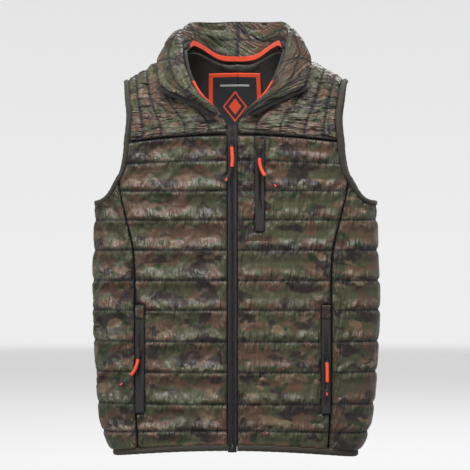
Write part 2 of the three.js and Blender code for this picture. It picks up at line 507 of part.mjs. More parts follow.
// ---- main zip -----------------------------------------------------------------------------------
const MAIN = { low: 11, chainTop: 585, slider: 566, teeth: 3.2, depth: 5.1, box: 10, lapelReach: 10 };
const mainRoute = [[0, EYE_DEPTH, 558.4], [-0.2, 4, 554], [0.4, 4.2, 544], [1, 4.2, 532], [0, 4.2, 520],
  [-3, 4, 511], [-6, 3.6, 505]];
const mainFrame = zipFrame(0, MAIN.slider);
addPull(mainFrame, "main", MAIN.slider, mainRoute, sleeveRoute(mainRoute, [0.07, 0.72]));
piece("main_zip_box", plate(cut(4, MAIN.low, MAIN.low + MAIN.box, 1), [], -4.4, -1.9), ZIP, mainFrame);
for (const [name, hand] of SIDES) {
  const strip = (x0, x1, d0, d1, z0, z1) =>
    boxAt(Math.min(hand * x0, hand * x1), Math.max(hand * x0, hand * x1), d0, d1, z0, z1);
  piece("main_zip_tape_" + name, bareOf(strip(0.6, ZIP_EDGE - 2 * SEAM, -MAIN.depth - 0.8, -MAIN.depth,
    MAIN.low, MAIN.chainTop + 8)), ZIP, mainFrame);
  piece("main_zip_teeth_" + name, bareOf(strip(SEAM / 2, MAIN.teeth, -MAIN.depth + SEAM, -2.3,
    MAIN.low + MAIN.box + 2 * SEAM, MAIN.chainTop)), ZIP, mainFrame);
  // The upper stretch, tape and teeth together, along the lapel's free edge from the tip to the corner.
  const run = steps(12, 0.01, 3 / 22).map((s) => {
    const a = collarSpot(s, 1), b = collarSpot(s + 0.004, 1), m = collarSpot(s, 0.9);
    const out = a.p.clone().sub(m.p).normalize();
    const n = out.clone().cross(b.p.sub(a.p)).normalize();
    const at = (e, d) => a.p.clone().addScaledVector(out, e).addScaledVector(n, d);
    const reach = MAIN.lapelReach * Math.min(1, 0.3 + s * 22);
    return [at(2 * SEAM, -0.6), at(reach, -0.6), at(reach, 0.6), at(2 * SEAM, 0.6)]
      .map((q) => (hand < 0 ? q : flip(q)));
  });
  piece("lapel_zip_" + name, loft(run), ZIP);
}

export default vest;
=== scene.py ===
# A sleeveless quilted vest, worn: padded camouflage panels over a dark lining, a collar folded open into
# lapels, orange trim and four zips with moulded pulls. Metres in the scene; sections think in millimetres.
import math
import bmesh
import bpy
import numpy as np
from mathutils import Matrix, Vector


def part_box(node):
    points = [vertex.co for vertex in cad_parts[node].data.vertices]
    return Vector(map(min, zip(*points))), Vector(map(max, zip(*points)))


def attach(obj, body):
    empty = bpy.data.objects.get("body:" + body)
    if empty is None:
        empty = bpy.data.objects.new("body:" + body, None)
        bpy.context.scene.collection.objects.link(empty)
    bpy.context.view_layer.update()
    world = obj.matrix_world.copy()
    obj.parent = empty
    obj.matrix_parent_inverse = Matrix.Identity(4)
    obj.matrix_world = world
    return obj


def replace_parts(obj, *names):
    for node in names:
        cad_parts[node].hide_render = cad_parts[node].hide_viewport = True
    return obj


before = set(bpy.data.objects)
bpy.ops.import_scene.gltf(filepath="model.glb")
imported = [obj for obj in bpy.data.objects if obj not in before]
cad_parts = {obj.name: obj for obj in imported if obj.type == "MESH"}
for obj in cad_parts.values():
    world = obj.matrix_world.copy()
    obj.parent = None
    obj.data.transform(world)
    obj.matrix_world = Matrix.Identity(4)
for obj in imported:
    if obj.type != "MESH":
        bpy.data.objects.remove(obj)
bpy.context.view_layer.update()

scene = bpy.context.scene
scene.view_settings.view_transform = "Standard"

# ---- the stage -----------------------------------------------------------------------------------
# A pale floor that sweeps up all round into a low wall, open to a soft white sky, glowing with a painted brightness
# graded by height. Two large soft lights above the front give the nylon its streaks of sheen.


class Wire:
    """One socket of a finish; arithmetic on it adds Math nodes."""

    def __init__(self, finish, socket):
        self.finish, self.socket = finish, socket

    def math(self, operation, *others):
        values = {i: v for i, v in enumerate((self,) + others)}
        return self.finish.node("ShaderNodeMath", {"operation": operation}, values)

    def __add__(self, other):
        return self.math("ADD", other)

    def __sub__(self, other):
        return self.math("SUBTRACT", other)

    def __rsub__(self, other):
        return self.finish.node("ShaderNodeMath", {"operation": "SUBTRACT"}, {0: other, 1: self})

    def __mul__(self, other):
        return self.math("MULTIPLY", other)

    __radd__, __rmul__ = __add__, __mul__


def srgb(*levels):
    """A colour from 0-255 levels, as linear light."""
    c = [x / 255 for x in levels]
    return tuple(x / 12.92 if x <= 0.04045 else ((x + 0.055) / 1.055) ** 2.4 for x in c) + (1.0,)


class Finish:
    """A material of nodes. node() adds one node: its type, its settings, then the values of its sockets."""

    def __init__(self, name, **constants):
        self.material = bpy.data.materials.new(name)
        self.material.use_nodes = True
        self.tree = self.material.node_tree
        self.shader = self.tree.nodes["Principled BSDF"]
        for socket, value in constants.items():
            self.shader.inputs[socket.replace("_", " ")].default_value = value

    def node(self, kind, settings=None, values=None, out=0):
        made = self.tree.nodes.new(kind)
        for key, value in (settings or {}).items():
            setattr(made, key, value)
        for key, value in (values or {}).items():
            self.put(made.inputs[key], value)
        return Wire(self, made.outputs[out])

    def put(self, socket, value):
        if isinstance(value, Wire):
            self.tree.links.new(value.socket, socket)
        else:
            socket.default_value = value

    def axis(self, name, layer=None):
        return self.node("ShaderNodeSeparateXYZ", None, {0: self.place(layer=layer)}, name)

    def place(self, spread=(1, 1, 1), shift=(0, 0, 0), layer=None):
        """The place on the object, or on the piece's own map, stretched and moved."""
        if layer:
            here = self.node("ShaderNodeUVMap", {"uv_map": layer})
        else:
            here = self.node("ShaderNodeTexCoord", out="Object")
        return self.node("ShaderNodeMapping", None, {"Vector": here, "Scale": spread, "Location": shift})

    def noise(self, where, scale, detail, rough=0.5, out="Fac"):
        return self.node("ShaderNodeTexNoise", None,
                         {"Vector": where, "Scale": scale, "Detail": detail, "Roughness": rough}, out)

    def wave(self, where, scale, axis="X", bend=0.0):
        return self.node("ShaderNodeTexWave", {"bands_direction": axis},
                         {"Vector": where, "Scale": scale, "Distortion": bend}, "Fac")

    def step(self, value, low, high):
        """0 below low, 1 above high, smooth between."""
        return self.node("ShaderNodeMapRange", {"interpolation_type": "SMOOTHSTEP"},
                         {"Value": value, "From Min": low, "From Max": high})

    def blend(self, share, first, second):
        return self.node("ShaderNodeMix", {"data_type": "RGBA"}, {0: share, 6: first, 7: second}, 2)

    def attribute(self, name):
        return self.node("ShaderNodeAttribute", {"attribute_name": name}, out="Fac")

    def bump(self, height, deep, under=None):
        values = {"Height": height, "Distance": deep, "Strength": 1.0}
        if under:
            values["Normal"] = under
        return self.node("ShaderNodeBump", None, values)

    def feed(self, **links):
        for socket, wire in links.items():
            self.put(self.shader.inputs[socket.replace("_", " ")], wire)
        return self.material


def placed(name, data):
    made = bpy.data.objects.new(name, data)
    scene.collection.objects.link(made)
    return made


def mesh_object(name, points, faces, finish):
    """A mesh object at the origin from points in metres."""
    mesh = bpy.data.meshes.new(name)
    mesh.from_pydata([tuple(p) for p in points], [], [tuple(f) for f in faces])
    mesh.materials.append(finish)
    mesh.polygons.foreach_set("use_smooth", [True] * len(mesh.polygons))
    return placed(name, mesh)


def tube_faces(rings, sides, closed=False):
    """Faces between rings of points; closed joins the last ring to the first."""
    return [(i * sides + k, i * sides + (k + 1) % sides, (i + 1) % rings * sides + (k + 1) % sides,
             (i + 1) % rings * sides + k) for i in range(rings if closed else rings - 1) for k in range(sides)]


def worn(piece, slot, node=None, body="vest"):
    """A piece that rides a body and stands for a modelled node; its slot is not used."""
    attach(piece, body)
    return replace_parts(piece, node) if node else piece


floor_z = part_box("hem_binding")[0].z - 0.085
sweep = [(0.0, 0.0), (2.0, 0.0), (4.0, 0.0), (6.0, 0.0)]
sweep += [(6 + 1.5 * math.sin(a), 1.5 - 1.5 * math.cos(a)) for a in np.linspace(0.15, math.pi / 2, 10)]
sweep += [(7.5, 6.0)]
around = 72
stage_points = [(r * math.cos(2 * math.pi * k / around), r * math.sin(2 * math.pi * k / around), floor_z + h)
                for r, h in sweep[1:] for k in range(around)] + [(0, 0, floor_z)]
stage_faces = tube_faces(len(sweep) - 1, around)
stage_faces += [(len(stage_points) - 1, (k + 1) % around, k) for k in range(around)]
pale = Finish("pale_floor", Roughness=0.9, Specular_IOR_Level=0.1, Emission_Strength=0.75)
height = pale.axis("Z")
# The floor's glow is painted brightness graded by height: dim on the flat floor, brightest where the wall starts to
# rise, then a steady pale grey higher up.
floor_glow_painted_low = pale.blend(pale.step(height, floor_z + 0.004, floor_z + 0.05), srgb(214, 214, 214), srgb(246, 246, 246))
backdrop_glow_painted = pale.blend(pale.step(height, floor_z, 1.0), floor_glow_painted_low, srgb(234, 234, 235))
speck = pale.noise(pale.place(), 300, 2) * 0.02 + 0.86
floor = mesh_object("studio_floor", stage_points, stage_faces,
                    pale.feed(Base_Color=(0.3, 0.3, 0.3, 1), Emission_Color=backdrop_glow_painted, Roughness=speck))
floor.visible_diffuse = floor.visible_glossy = False

world = bpy.data.worlds.new("soft_sky")
world.use_nodes = True
world.node_tree.nodes["Background"].inputs["Color"].default_value = (1.0, 1.0, 1.0, 1)
world.node_tree.nodes["Background"].inputs["Strength"].default_value = 0.44
scene.world = world


def aimed(made, place, target):
    made.location = place
    made.rotation_mode = "QUATERNION"
    made.rotation_quaternion = (target - place).to_track_quat("-Z", "Y")


def soft_light(name, place, aim, size, power):
    data = bpy.data.lights.new(name, "AREA")
    data.shape, data.size, data.size_y, data.energy = "RECTANGLE", size[0], size[1], power
    aimed(placed(name, data), Vector(place), Vector(aim))


soft_light("top_light", (0.2, -1.3, 1.9), (0, 0, -0.3), (2.2, 0.9), 96)
soft_light("left_light", (-2.3, -2.2, 0.7), (0, 0, -0.3), (1.0, 1.8), 36)
soft_light("back_light", (0.6, 2.4, 1.6), (0, 0, -0.3), (2.0, 1.2), 40)

azimuth, distance, aim = math.radians(4.0), 4.98, Vector((0.0012, -0.03, -0.302))
camera = placed("camera", bpy.data.cameras.new("camera"))
camera.data.lens, camera.data.sensor_width = 212, 36
aimed(camera, aim + distance * Vector((math.sin(azimuth), -math.cos(azimuth), 0)), aim)
scene.camera = camera

# ---- zip pulls -----------------------------------------------------------------------------------
# Each slider's tab carries a short black braided cord in an orange rubber sleeve, closed by a moulded
# black end with an orange inlay. The cord is fixed at the tab's eye and hangs free.
MM, ORIGIN_Z = 0.001, 700


def rounded(angle, power):
    """A rounded square's outline: signed powers of the cosine and the sine."""
    return tuple(np.sign(w) * np.abs(w) ** power for w in (np.cos(angle), np.sin(angle)))


def through_points(points, count):
    """Centripetal Catmull-Rom line through points: count even steps of its parameter, or at given shares."""
    p = np.asarray(points, float)
    p = np.vstack([2 * p[0] - p[1], p, 2 * p[-1] - p[-2]])
    out = []
    for t in np.linspace(0, 1, count + 1) if np.isscalar(count) else count:
        spot = (len(p) - 3) * t
        i = min(int(spot), len(p) - 4)
        w = spot - i
        a, b, c, d = p[i:i + 4]
        d0, d1, d2 = [max(np.linalg.norm(q - r) ** 0.5, 1e-4) for q, r in ((a, b), (b, c), (c, d))]
        t1 = ((b - a) / d0 - (c - a) / (d0 + d1) + (c - b) / d1) * d1
        t2 = ((c - b) / d1 - (d - b) / (d1 + d2) + (d - c) / d2) * d1
        out.append(b + t1 * w + (3 * (c - b) - 2 * t1 - t2) * w ** 2 + (2 * (b - c) + t1 + t2) * w ** 3)
    return np.array(out)


EYE = 3.7
# Per zip: where it crosses the front (x, y), its turn about the vertical, the slider's height, the cord's
# route down from the eye as (across, out, height), and the share of it that the sleeve covers.
ZIPS = {
    "main": dict(at=(0, -88), turn=0.0, slider=566, sleeve=(0.07, 0.72), route=[
        (0, EYE, 558.4), (-0.2, 4, 554), (0.4, 4.2, 544), (1, 4.2, 532), (0, 4.2, 520), (-3, 4, 511), (-6, 3.6, 505)]),
    "chest_pocket": dict(at=(49.0, -87.5375), turn=1.4117, slider=547, sleeve=(0.1, 0.7), route=[
        (0, EYE, 539.4), (0, 4, 535), (0.8, 4.2, 524), (4.5, 4.2, 512), (10.5, 4.2, 502), (16, 4, 496.5),
        (21, 3.6, 492)]),
    "left_pocket": dict(at=(-167.4287, -75.4171), turn=-12.535, slider=189, sleeve=(0.1, 0.7), route=[
        (0, EYE, 181.4), (-0.5, 4, 177), (-3, 4.2, 166), (-8, 4.2, 155), (-14.5, 4.2, 146.5), (-20, 4, 141),
        (-25, 3.6, 137)]),
    "right_pocket": dict(at=(167.4287, -75.4171), turn=12.535, slider=183, sleeve=(0.08, 0.78), route=[
        (0, EYE, 175.4), (0, 4, 171), (0.6, 4.2, 160), (0.8, 4.2, 149), (0.8, 4.2, 138), (0.6, 4, 131),
        (0.4, 3.6, 125)]),
}


def on_zip(name, spots):
    """Points given across, out and up a zip, in metres in the object's frame."""
    s = np.atleast_2d(np.asarray(spots, float))
    z = ZIPS[name]
    c, w = math.cos(math.radians(z["turn"])), math.sin(math.radians(z["turn"]))
    x = z["at"][0] + s[:, 0] * c + s[:, 1] * w
    y = z["at"][1] + s[:, 0] * w - s[:, 1] * c
    return np.column_stack([x, y, s[:, 2] - ORIGIN_Z]) * MM


def along(path, share):
    """The point and direction at a share of a path's length."""
    run = np.r_[0, np.cumsum(np.linalg.norm(np.diff(path, axis=0), axis=1))]
    spot, ahead, behind = (np.array([np.interp(s * run[-1], run, path[:, k]) for k in range(3)])
                           for s in (share, min(share + 0.02, 1), max(share - 0.02, 0)))
    return spot, (ahead - behind) / np.linalg.norm(ahead - behind)


def turned_rod(name, path, rings, sides, finish, upright):
    """A rod round a path: rings of (share of the path, radius in mm), closed at both ends or onto itself."""
    points = []
    for share, radius in rings:
        spot, way = along(path, share)
        a = np.cross(way, upright)
        a /= np.linalg.norm(a)
        b = np.cross(way, a)
        angle = np.linspace(0, 2 * math.pi, sides, endpoint=False)[:, None]
        points.append(spot + radius * MM * (np.cos(angle) * a + np.sin(angle) * b))
    return outward(mesh_object(name, np.vstack(points), tube_faces(len(rings), sides, True), finish))


def outward(piece):
    """The faces of a closed piece turned to point out."""
    shape = bmesh.new()
    shape.from_mesh(piece.data)
    bmesh.ops.recalc_face_normals(shape, faces=shape.faces)
    shape.to_mesh(piece.data)
    shape.free()
    return piece


def settled(piece):
    """The piece with its modifiers made part of a plain mesh."""
    graph = bpy.context.evaluated_depsgraph_get()
    mesh = bpy.data.meshes.new_from_object(piece.evaluated_get(graph))
    piece.modifiers.clear()
    piece.data = mesh
    return piece


def pebble(name, outline, low, high, roundness, finish, frame_of):
    """A moulded plate: an outline in mm (across, up) between two depths, its rims rounded."""
    outline = np.asarray(outline, float)
    centre = outline.mean(0)
    reach = np.linalg.norm(outline - centre, axis=1).min()
    rings = [(0.45, low)]
    for a in np.linspace(0, math.pi, 9):
        inset = roundness * (1 - math.sin(a)) / reach
        middle, half = (low + high) / 2, (high - low) / 2
        rings.append((1 - inset, middle - half * math.copysign(min(1, abs(math.cos(a)) ** 0.7), math.cos(a))))
    rings.append((0.45, high))
    points = [np.column_stack([centre + (outline - centre) * k, np.full(len(outline), d)])[:, [0, 2, 1]]
              for k, d in rings]
    n = len(outline)
    spots = np.vstack(points + [[[centre[0], low, centre[1]], [centre[0], high, centre[1]]]])
    faces = tube_faces(len(rings), n)
    last = len(spots)
    faces += [(last - 2, (k + 1) % n, k) for k in range(n)]
    faces += [(last - 1, (len(rings) - 1) * n + k, (len(rings) - 1) * n + (k + 1) % n) for k in range(n)]
    return outward(mesh_object(name, frame_of(spots), faces, finish))


braid = Finish("black_braid", Roughness=0.8, Sheen_Weight=0.3)
strand = braid.wave(braid.place((1, 1, 1.4)), 420, "DIAGONAL", 2)
braid_black = braid.feed(Base_Color=braid.blend(strand, srgb(16, 15, 17), srgb(38, 36, 38)),
                         Normal=braid.bump(strand, 0.0004))
rubber = Finish("orange_rubber", Roughness=0.42, Specular_IOR_Level=0.45)
dust = rubber.noise(rubber.place(), 260, 4)
orange_rubber = rubber.feed(
    Base_Color=rubber.blend(rubber.step(dust, 0.35, 0.75), srgb(240, 74, 30), srgb(226, 92, 58)),
    Roughness=rubber.step(dust, 0.2, 0.9) * 0.25 + 0.34,
    Normal=rubber.bump(rubber.noise(rubber.place((1, 1, 3)), 500, 2), 0.0003))
moulded = Finish("moulded_black", Specular_IOR_Level=0.5)
pits = moulded.noise(moulded.place(), 900, 3)
moulded_black = moulded.feed(Base_Color=moulded.blend(pits, srgb(20, 19, 21), srgb(40, 38, 41)),
                             Roughness=pits * 0.3 + 0.3, Normal=moulded.bump(pits, 0.00015))

for zip_name, zip_facts in ZIPS.items():
    body = zip_name + "_pull"
    route = on_zip(zip_name, through_points(zip_facts["route"], 30))
    face_out = on_zip(zip_name, [(0, 1, 0)])[0] - on_zip(zip_name, [(0, 0, 0)])[0]
    line = bpy.data.curves.new(zip_name + "_cord", "CURVE")
    line.dimensions, line.bevel_depth, line.bevel_resolution, line.use_fill_caps = "3D", 0.0012, 4, True
    spline = line.splines.new("POLY")
    spline.points.add(len(route) - 1)
    spline.points.foreach_set("co", np.column_stack([route, np.ones(len(route))]).ravel())
    line.materials.append(braid_black)
    cord = placed(zip_name + "_cord", line)

    # The sleeve: moulded ribs outside, rounded rims, and the bore that the cord runs in.
    start, stop = zip_facts["sleeve"]
    span = [start + (stop - start) * k / 40 for k in range(41)]
    rings = [(start + 0.004, 1.55), (start, 2.2), (start + 0.001, 2.8)]
    rings += [(s, 3.0 + 0.16 * math.sin(k * 2 * math.pi / 4)) for k, s in enumerate(span) if 1 <= k <= 39]
    rings += [(stop - 0.001, 2.8), (stop, 2.2), (stop - 0.004, 1.55)]
    rings += [(start + (stop - start) * k, 1.5) for k in (0.75, 0.5, 0.25)]
    sleeve = turned_rod(zip_name + "_sleeve", route, rings, 20, orange_rubber, face_out)

    before, tip = np.array(zip_facts["route"][-2]), np.array(zip_facts["route"][-1])
    down = (tip - before) * (1, 0, 1)
    down /= np.linalg.norm(down)
    side = np.array([-down[2], 0, down[0]])

    def on_end(spots, tip=tip, down=down, side=side, name=zip_name):
        """Points across, out and down the moulded end."""
        s = np.asarray(spots, float)
        return on_zip(name, tip + s[:, :1] * side + s[:, 1:2] * (0, 1, 0) + (0.6 + s[:, 2:]) * down)

    angle = np.linspace(0, 2 * math.pi, 40, endpoint=False)
    flat = rounded(angle, 0.55)
    waist = 1 - 0.22 * np.exp(-((flat[1] + 1) / 0.55) ** 2)
    end = pebble(zip_name + "_end", np.column_stack([3.95 * flat[0] * waist, 7.5 + 7.4 * flat[1]]), -1.55, 1.55, 1.2,
                 moulded_black, on_end)
    inlay = pebble(zip_name + "_inlay", np.column_stack([1.35 * flat[0] * waist, 8.8 + 3.0 * flat[1]]), 1.2, 1.9, 0.4,
                   orange_rubber, on_end)
    for piece, node, slot in ((cord, "cord", "cord"), (sleeve, "sleeve", "pull_sleeve"), (end, "end", "pull_end")):
        worn(piece, slot, zip_name + "_pull_" + node, body)
    worn(inlay, "pull_sleeve", body=body)

# ---- quilted panels ------------------------------------------------------------------------------
# Fronts, sides, back and yokes: light glossy nylon printed in camouflage, filled with down-like wadding and
# quilted through in level rows on the body and in upright channels on the yoke. Seams draw every edge in.
HALF_WIDTH, DEPTH, POWER = 256, 88, 2.6
CORNER_Z, YOKE_Z, PAD, SEAM = 494, 576, 13, 0.3
PANEL_TOP, UNDERARM_Z = 575.7, 453  # the body panels' upper edge, and the lowest point of the armholes
FRONT_EDGE, NECK_X, ARC_TOP = 8.8, 98, 89.7  # beside the zip, half the neck opening, and the yokes' top in degrees


def outline(*pairs):
    """A smooth function through a few (place, value) pairs."""
    fine = through_points([(x, y, 0) for x, y in pairs], 240)
    return lambda x: np.interp(x, fine[:, 0], fine[:, 1])


half_width = outline((0, 220), (35, 238), (80, 249), (160, 256), (281, 261), (370, 258), (461, 256), (760, 256))
panel_edge = outline((0, 171), (78, 175), (265, 176.5), (349, 178), (382, 182), (441, 197), (494, 207), (506, 201),
                     (520, 196.5), (560, 190.5), (576, 190))
arm_edge = outline((0, 190), (14, 186.5), (24, 186), (43, 190.5), (90, 198.5))
fold_edge = outline((0, 8.5), (5, 8.5), (9, 15), (17.6, 42), (23.8, 60), (35, 76), (44, 84), (60, 92), (90, 98))


def mix(a, b, t):
    return a + (b - a) * t


def underarm(x):
    share = np.clip((HALF_WIDTH - np.abs(x)) / (HALF_WIDTH - panel_edge(CORNER_Z)), 0, None)
    return mix(UNDERARM_Z, CORNER_Z, share ** 2.1)


def seam_z(x):
    return YOKE_Z - 14 * (x / 200) ** 2


def shoulder_z(x):
    away = np.abs(x) - NECK_X
    return 741 - np.where(away > 0, away * 0.602, away * 0.45)


def neck_arc(x):
    """How far the back reaches over the shoulder, in degrees: it dips to the neck."""
    return 42 + 48 * np.minimum(1, np.abs(x) / NECK_X) ** 2.2


def hem_lift(x, z):
    return 14 * np.clip(1 - (x / 220) ** 2, 0, None) * np.clip(1 - z / 110, 0, None) ** 2


def section_y(x, a):
    return DEPTH * np.clip(1 - np.abs(x / a) ** POWER, 0, None) ** (1 / POWER)


def metres(spots):
    """From millimetres above the hem's corners to the object's own frame."""
    return (np.asarray(spots, float) - (0, 0, ORIGIN_Z)) * MM


def low_surface(face):
    return lambda x, z: np.stack([x, face * section_y(x, half_width(z)), z + hem_lift(x, z)], -1)


def high_surface(face):
    def surface(x, deg):
        s, c = np.sin(np.radians(deg)), np.cos(np.radians(deg))
        y = mix(5, face * section_y(x, half_width(YOKE_Z)), c)
        return np.stack([x, y, mix(seam_z(x), shoulder_z(x), s)], -1)
    return surface


def side_surface(hand):
    def surface(t, z):
        c = np.abs(np.cos(t)) ** (2 / POWER)
        x = half_width(z) * c
        y = -np.sign(t) * DEPTH * np.abs(np.sin(t)) ** (2 / POWER)
        return np.stack([hand * x, y, z + hem_lift(x, z)], -1)
    return surface


def skin(surface, u, v, du, dv):
    """Points of a surface and its outward normals."""
    u, v = np.broadcast_arrays(np.asarray(u, float), np.asarray(v, float))
    p = surface(u, v)
    n = np.cross(surface(u + du, v) - surface(u - du, v), surface(u, v + dv) - surface(u, v - dv))
    n /= np.linalg.norm(n, axis=-1, keepdims=True)
    out = np.stack([p[..., 0], p[..., 1], np.where(p[..., 2] > YOKE_Z + 60, 60, 0)], -1)
    return p, n * np.where((n * out).sum(-1, keepdims=True) < 0, -1, 1)


def side_top(w):
    """The underarm edge's height, at shares w of the way round the side."""
    return underarm(side_surface(1)(seam_angle(CORNER_Z) * w, np.full(len(w), float(CORNER_Z)))[:, 0])


def body_skin(face, x, z):
    z = np.asarray(z, float)
    k = np.clip((z - CORNER_Z) / (YOKE_Z - CORNER_Z), 0, None)
    return skin(low_surface(face), x, z - k * (YOKE_Z - seam_z(x)), 0.5, 0.5)


def high_skin(face, x, deg):
    return skin(high_surface(face), x, deg, 0.5, 0.2)


def seam_angle(z):
    return np.arccos((panel_edge(z) / half_width(z)) ** (POWER / 2))


def fill(stops, step):
    """The stops, with even steps between them."""
    out = [np.linspace(a, b, max(1, round(abs(b - a) / step)) + 1)[:-1] for a, b in zip(stops, stops[1:])]
    return np.r_[np.concatenate(out), stops[-1]]


def lines_at(places, lines, depth):
    """The nearest row of the grid to each line of stitching, with its depth."""
    return [(int(np.argmin(np.abs(places - line))), depth) for line in lines]


def reach_to(lines, places):
    """Distance from each place to the nearest line."""
    return np.min(np.abs(np.subtract.outer(places, np.asarray(lines, float))), -1)


def cloth_map(points):
    """Each grid point's place on the flat cloth, across and up, in metres."""
    across = np.linalg.norm(np.diff(points, axis=1), axis=-1)
    up = np.linalg.norm(np.diff(points, axis=0), axis=-1)
    u = np.concatenate([np.zeros((len(points), 1)), np.cumsum(across, 1)], 1)
    v = np.concatenate([np.zeros((1, points.shape[1])), np.cumsum(up, 0)], 0)
    return np.stack([u - u[:, [u.shape[1] // 2]], v], -1) * MM


def lay_map(piece, layer, places):
    """A map of the cloth on a piece, from a place for each point."""
    corner = np.empty(len(piece.data.loops), np.int32)
    piece.data.loops.foreach_get("vertex_index", corner)
    piece.data.uv_layers.new(name=layer).data.foreach_set("uv", np.asarray(places)[corner].ravel())


def mark_stitches(piece, distance):
    away = piece.data.attributes.new("stitched", "FLOAT", "POINT")
    away.data.foreach_set("value", np.asarray(distance, np.float32))


def grid_faces(rows, cols, start=0):
    i, k = np.meshgrid(np.arange(rows - 1), np.arange(cols - 1), indexing="ij")
    a = (start + i * cols + k).ravel()
    return np.column_stack([a, a + 1, a + cols + 1, a + cols])


def blown(points, pinned, press, spare):
    """Cloth sewn down at the pinned points and blown up by its filling."""
    rows, cols = pinned.shape
    trial = mesh_object("trial", points.reshape(-1, 3) * MM, grid_faces(rows, cols), None)
    sewn = trial.vertex_groups.new(name="sewn")
    sewn.add(np.flatnonzero(pinned.ravel()).tolist(), 1.0, "REPLACE")
    cloth = trial.modifiers.new("cloth", "CLOTH")
    cloth.point_cache.frame_start, cloth.point_cache.frame_end = 1, 20
    s = cloth.settings
    s.quality, s.mass, s.air_damping = 5, 0.15, 2.0
    s.tension_stiffness = s.compression_stiffness = 8
    s.shear_stiffness, s.bending_stiffness = 3, 0.02
    s.vertex_group_mass, s.pin_stiffness = "sewn", 1.0
    s.use_pressure, s.uniform_pressure_force = True, press
    s.shrink_min = -spare
    s.effector_weights.gravity = 0
    cloth.collision_settings.use_collision = cloth.collision_settings.use_self_collision = False
    for step in range(1, 21):
        scene.frame_set(step)
    shape = trial.evaluated_get(bpy.context.evaluated_depsgraph_get()).data
    found = np.empty(len(shape.vertices) * 3)
    shape.vertices.foreach_get("co", found)
    scene.frame_set(1)
    bpy.data.objects.remove(trial)
    return found.reshape(rows, cols, 3) / MM


def quilt(name, crest, normal, sewn, near, upright, thick=PAD, rise=1.0, press=4.0, spare=0.06, shift=0.0,
          seed=1, grooves=None):
    """A padded panel. crest and normal are grids of the full outer surface; sewn holds the depth of each sewn-down
    point and NaN elsewhere; near is the distance to the nearest line of stitching."""
    rows, cols = sewn.shape
    pinned = ~np.isnan(sewn)
    rng = np.random.default_rng(seed)
    drawn_in = np.nanmean(sewn)
    crown = np.clip(near / (1.6 * thick), 0, 1) ** 0.5
    depth = np.where(pinned, sewn, drawn_in * (1 - 0.82 * crown) + rng.normal(0, 0.25, sewn.shape))
    points = crest - normal * depth[..., None]
    moved = blown(points, pinned, press, spare) - points
    lift = (moved * normal).sum(-1)
    slide = moved - normal * lift[..., None]
    far = np.linalg.norm(slide, axis=-1, keepdims=True)
    slide *= np.minimum(1, 3.0 / np.maximum(far, 1e-6))
    depth = depth - lift
    full = ~pinned & (near > 0.8 * np.percentile(near, 80))
    depth -= np.where(pinned, 0, crown * max(0, np.percentile(depth[full], 30) - 0.2))
    depth = np.clip(depth, -rise, thick - 1.5)
    points = crest - normal * depth[..., None] + slide
    pleats = rng.normal(0, 1, sewn.shape)
    across, down = (0, 1) if upright else (1, 0)
    pleats = pleats + 0.6 * np.roll(pleats, 1, across) + 0.6 * np.roll(pleats, -1, across)
    for _ in range(3):
        pleats = (pleats + np.roll(pleats, 1, down) + np.roll(pleats, -1, down)) / 2.2
    pleats *= np.where(pinned, 0, 0.75 * np.exp(-near / 13))
    points = points - normal * np.clip(pleats, -0.1, 1.8)[..., None]
    if grooves is not None:
        points -= normal * grooves[..., None]

    # The back is a coarser grid, and n-sided faces close the edge between the two.
    ri = np.unique(np.r_[np.arange(0, rows - 1, 4), rows - 1])
    ci = np.unique(np.r_[np.arange(0, cols - 1, 4), cols - 1])
    back = (crest - normal * thick)[np.ix_(ri, ci)]
    start = rows * cols
    spots = np.vstack([points.reshape(-1, 3), back.reshape(-1, 3)])
    faces = [tuple(f) for f in grid_faces(rows, cols)]
    faces += [tuple(f[::-1]) for f in grid_faces(len(ri), len(ci), start)]
    fine = np.arange(start).reshape(rows, cols)
    coarse = start + np.arange(len(ri) * len(ci)).reshape(len(ri), len(ci))
    for turned, kept in (((fine, coarse), ci), ((fine.T, coarse.T), ri)):
        for j in range(len(kept) - 1):
            for row in (0, -1):
                rim, far = turned[0][row, kept[j]:kept[j + 1] + 1], turned[1][row]
                faces.append(tuple(rim.tolist() + [int(far[j + 1]), int(far[j])]))
    made = mesh_object(name, metres(spots), faces, shell_cloth)
    flat = cloth_map(crest)
    both = np.vstack([flat.reshape(-1, 2) + (shift, shift * 0.7), flat[np.ix_(ri, ci)].reshape(-1, 2) + (shift, 0)])
    lay_map(made, "cloth", both)
    lay_map(made, "crinkle", both[:, ::-1] if upright else both)
    mark_stitches(made, np.r_[near.ravel(), np.zeros(back.size // 3)])
    outward(made)
    made.modifiers.new("smooth", "SUBSURF").levels = 1
    made.modifiers["smooth"].render_levels = 1
    return settled(made)


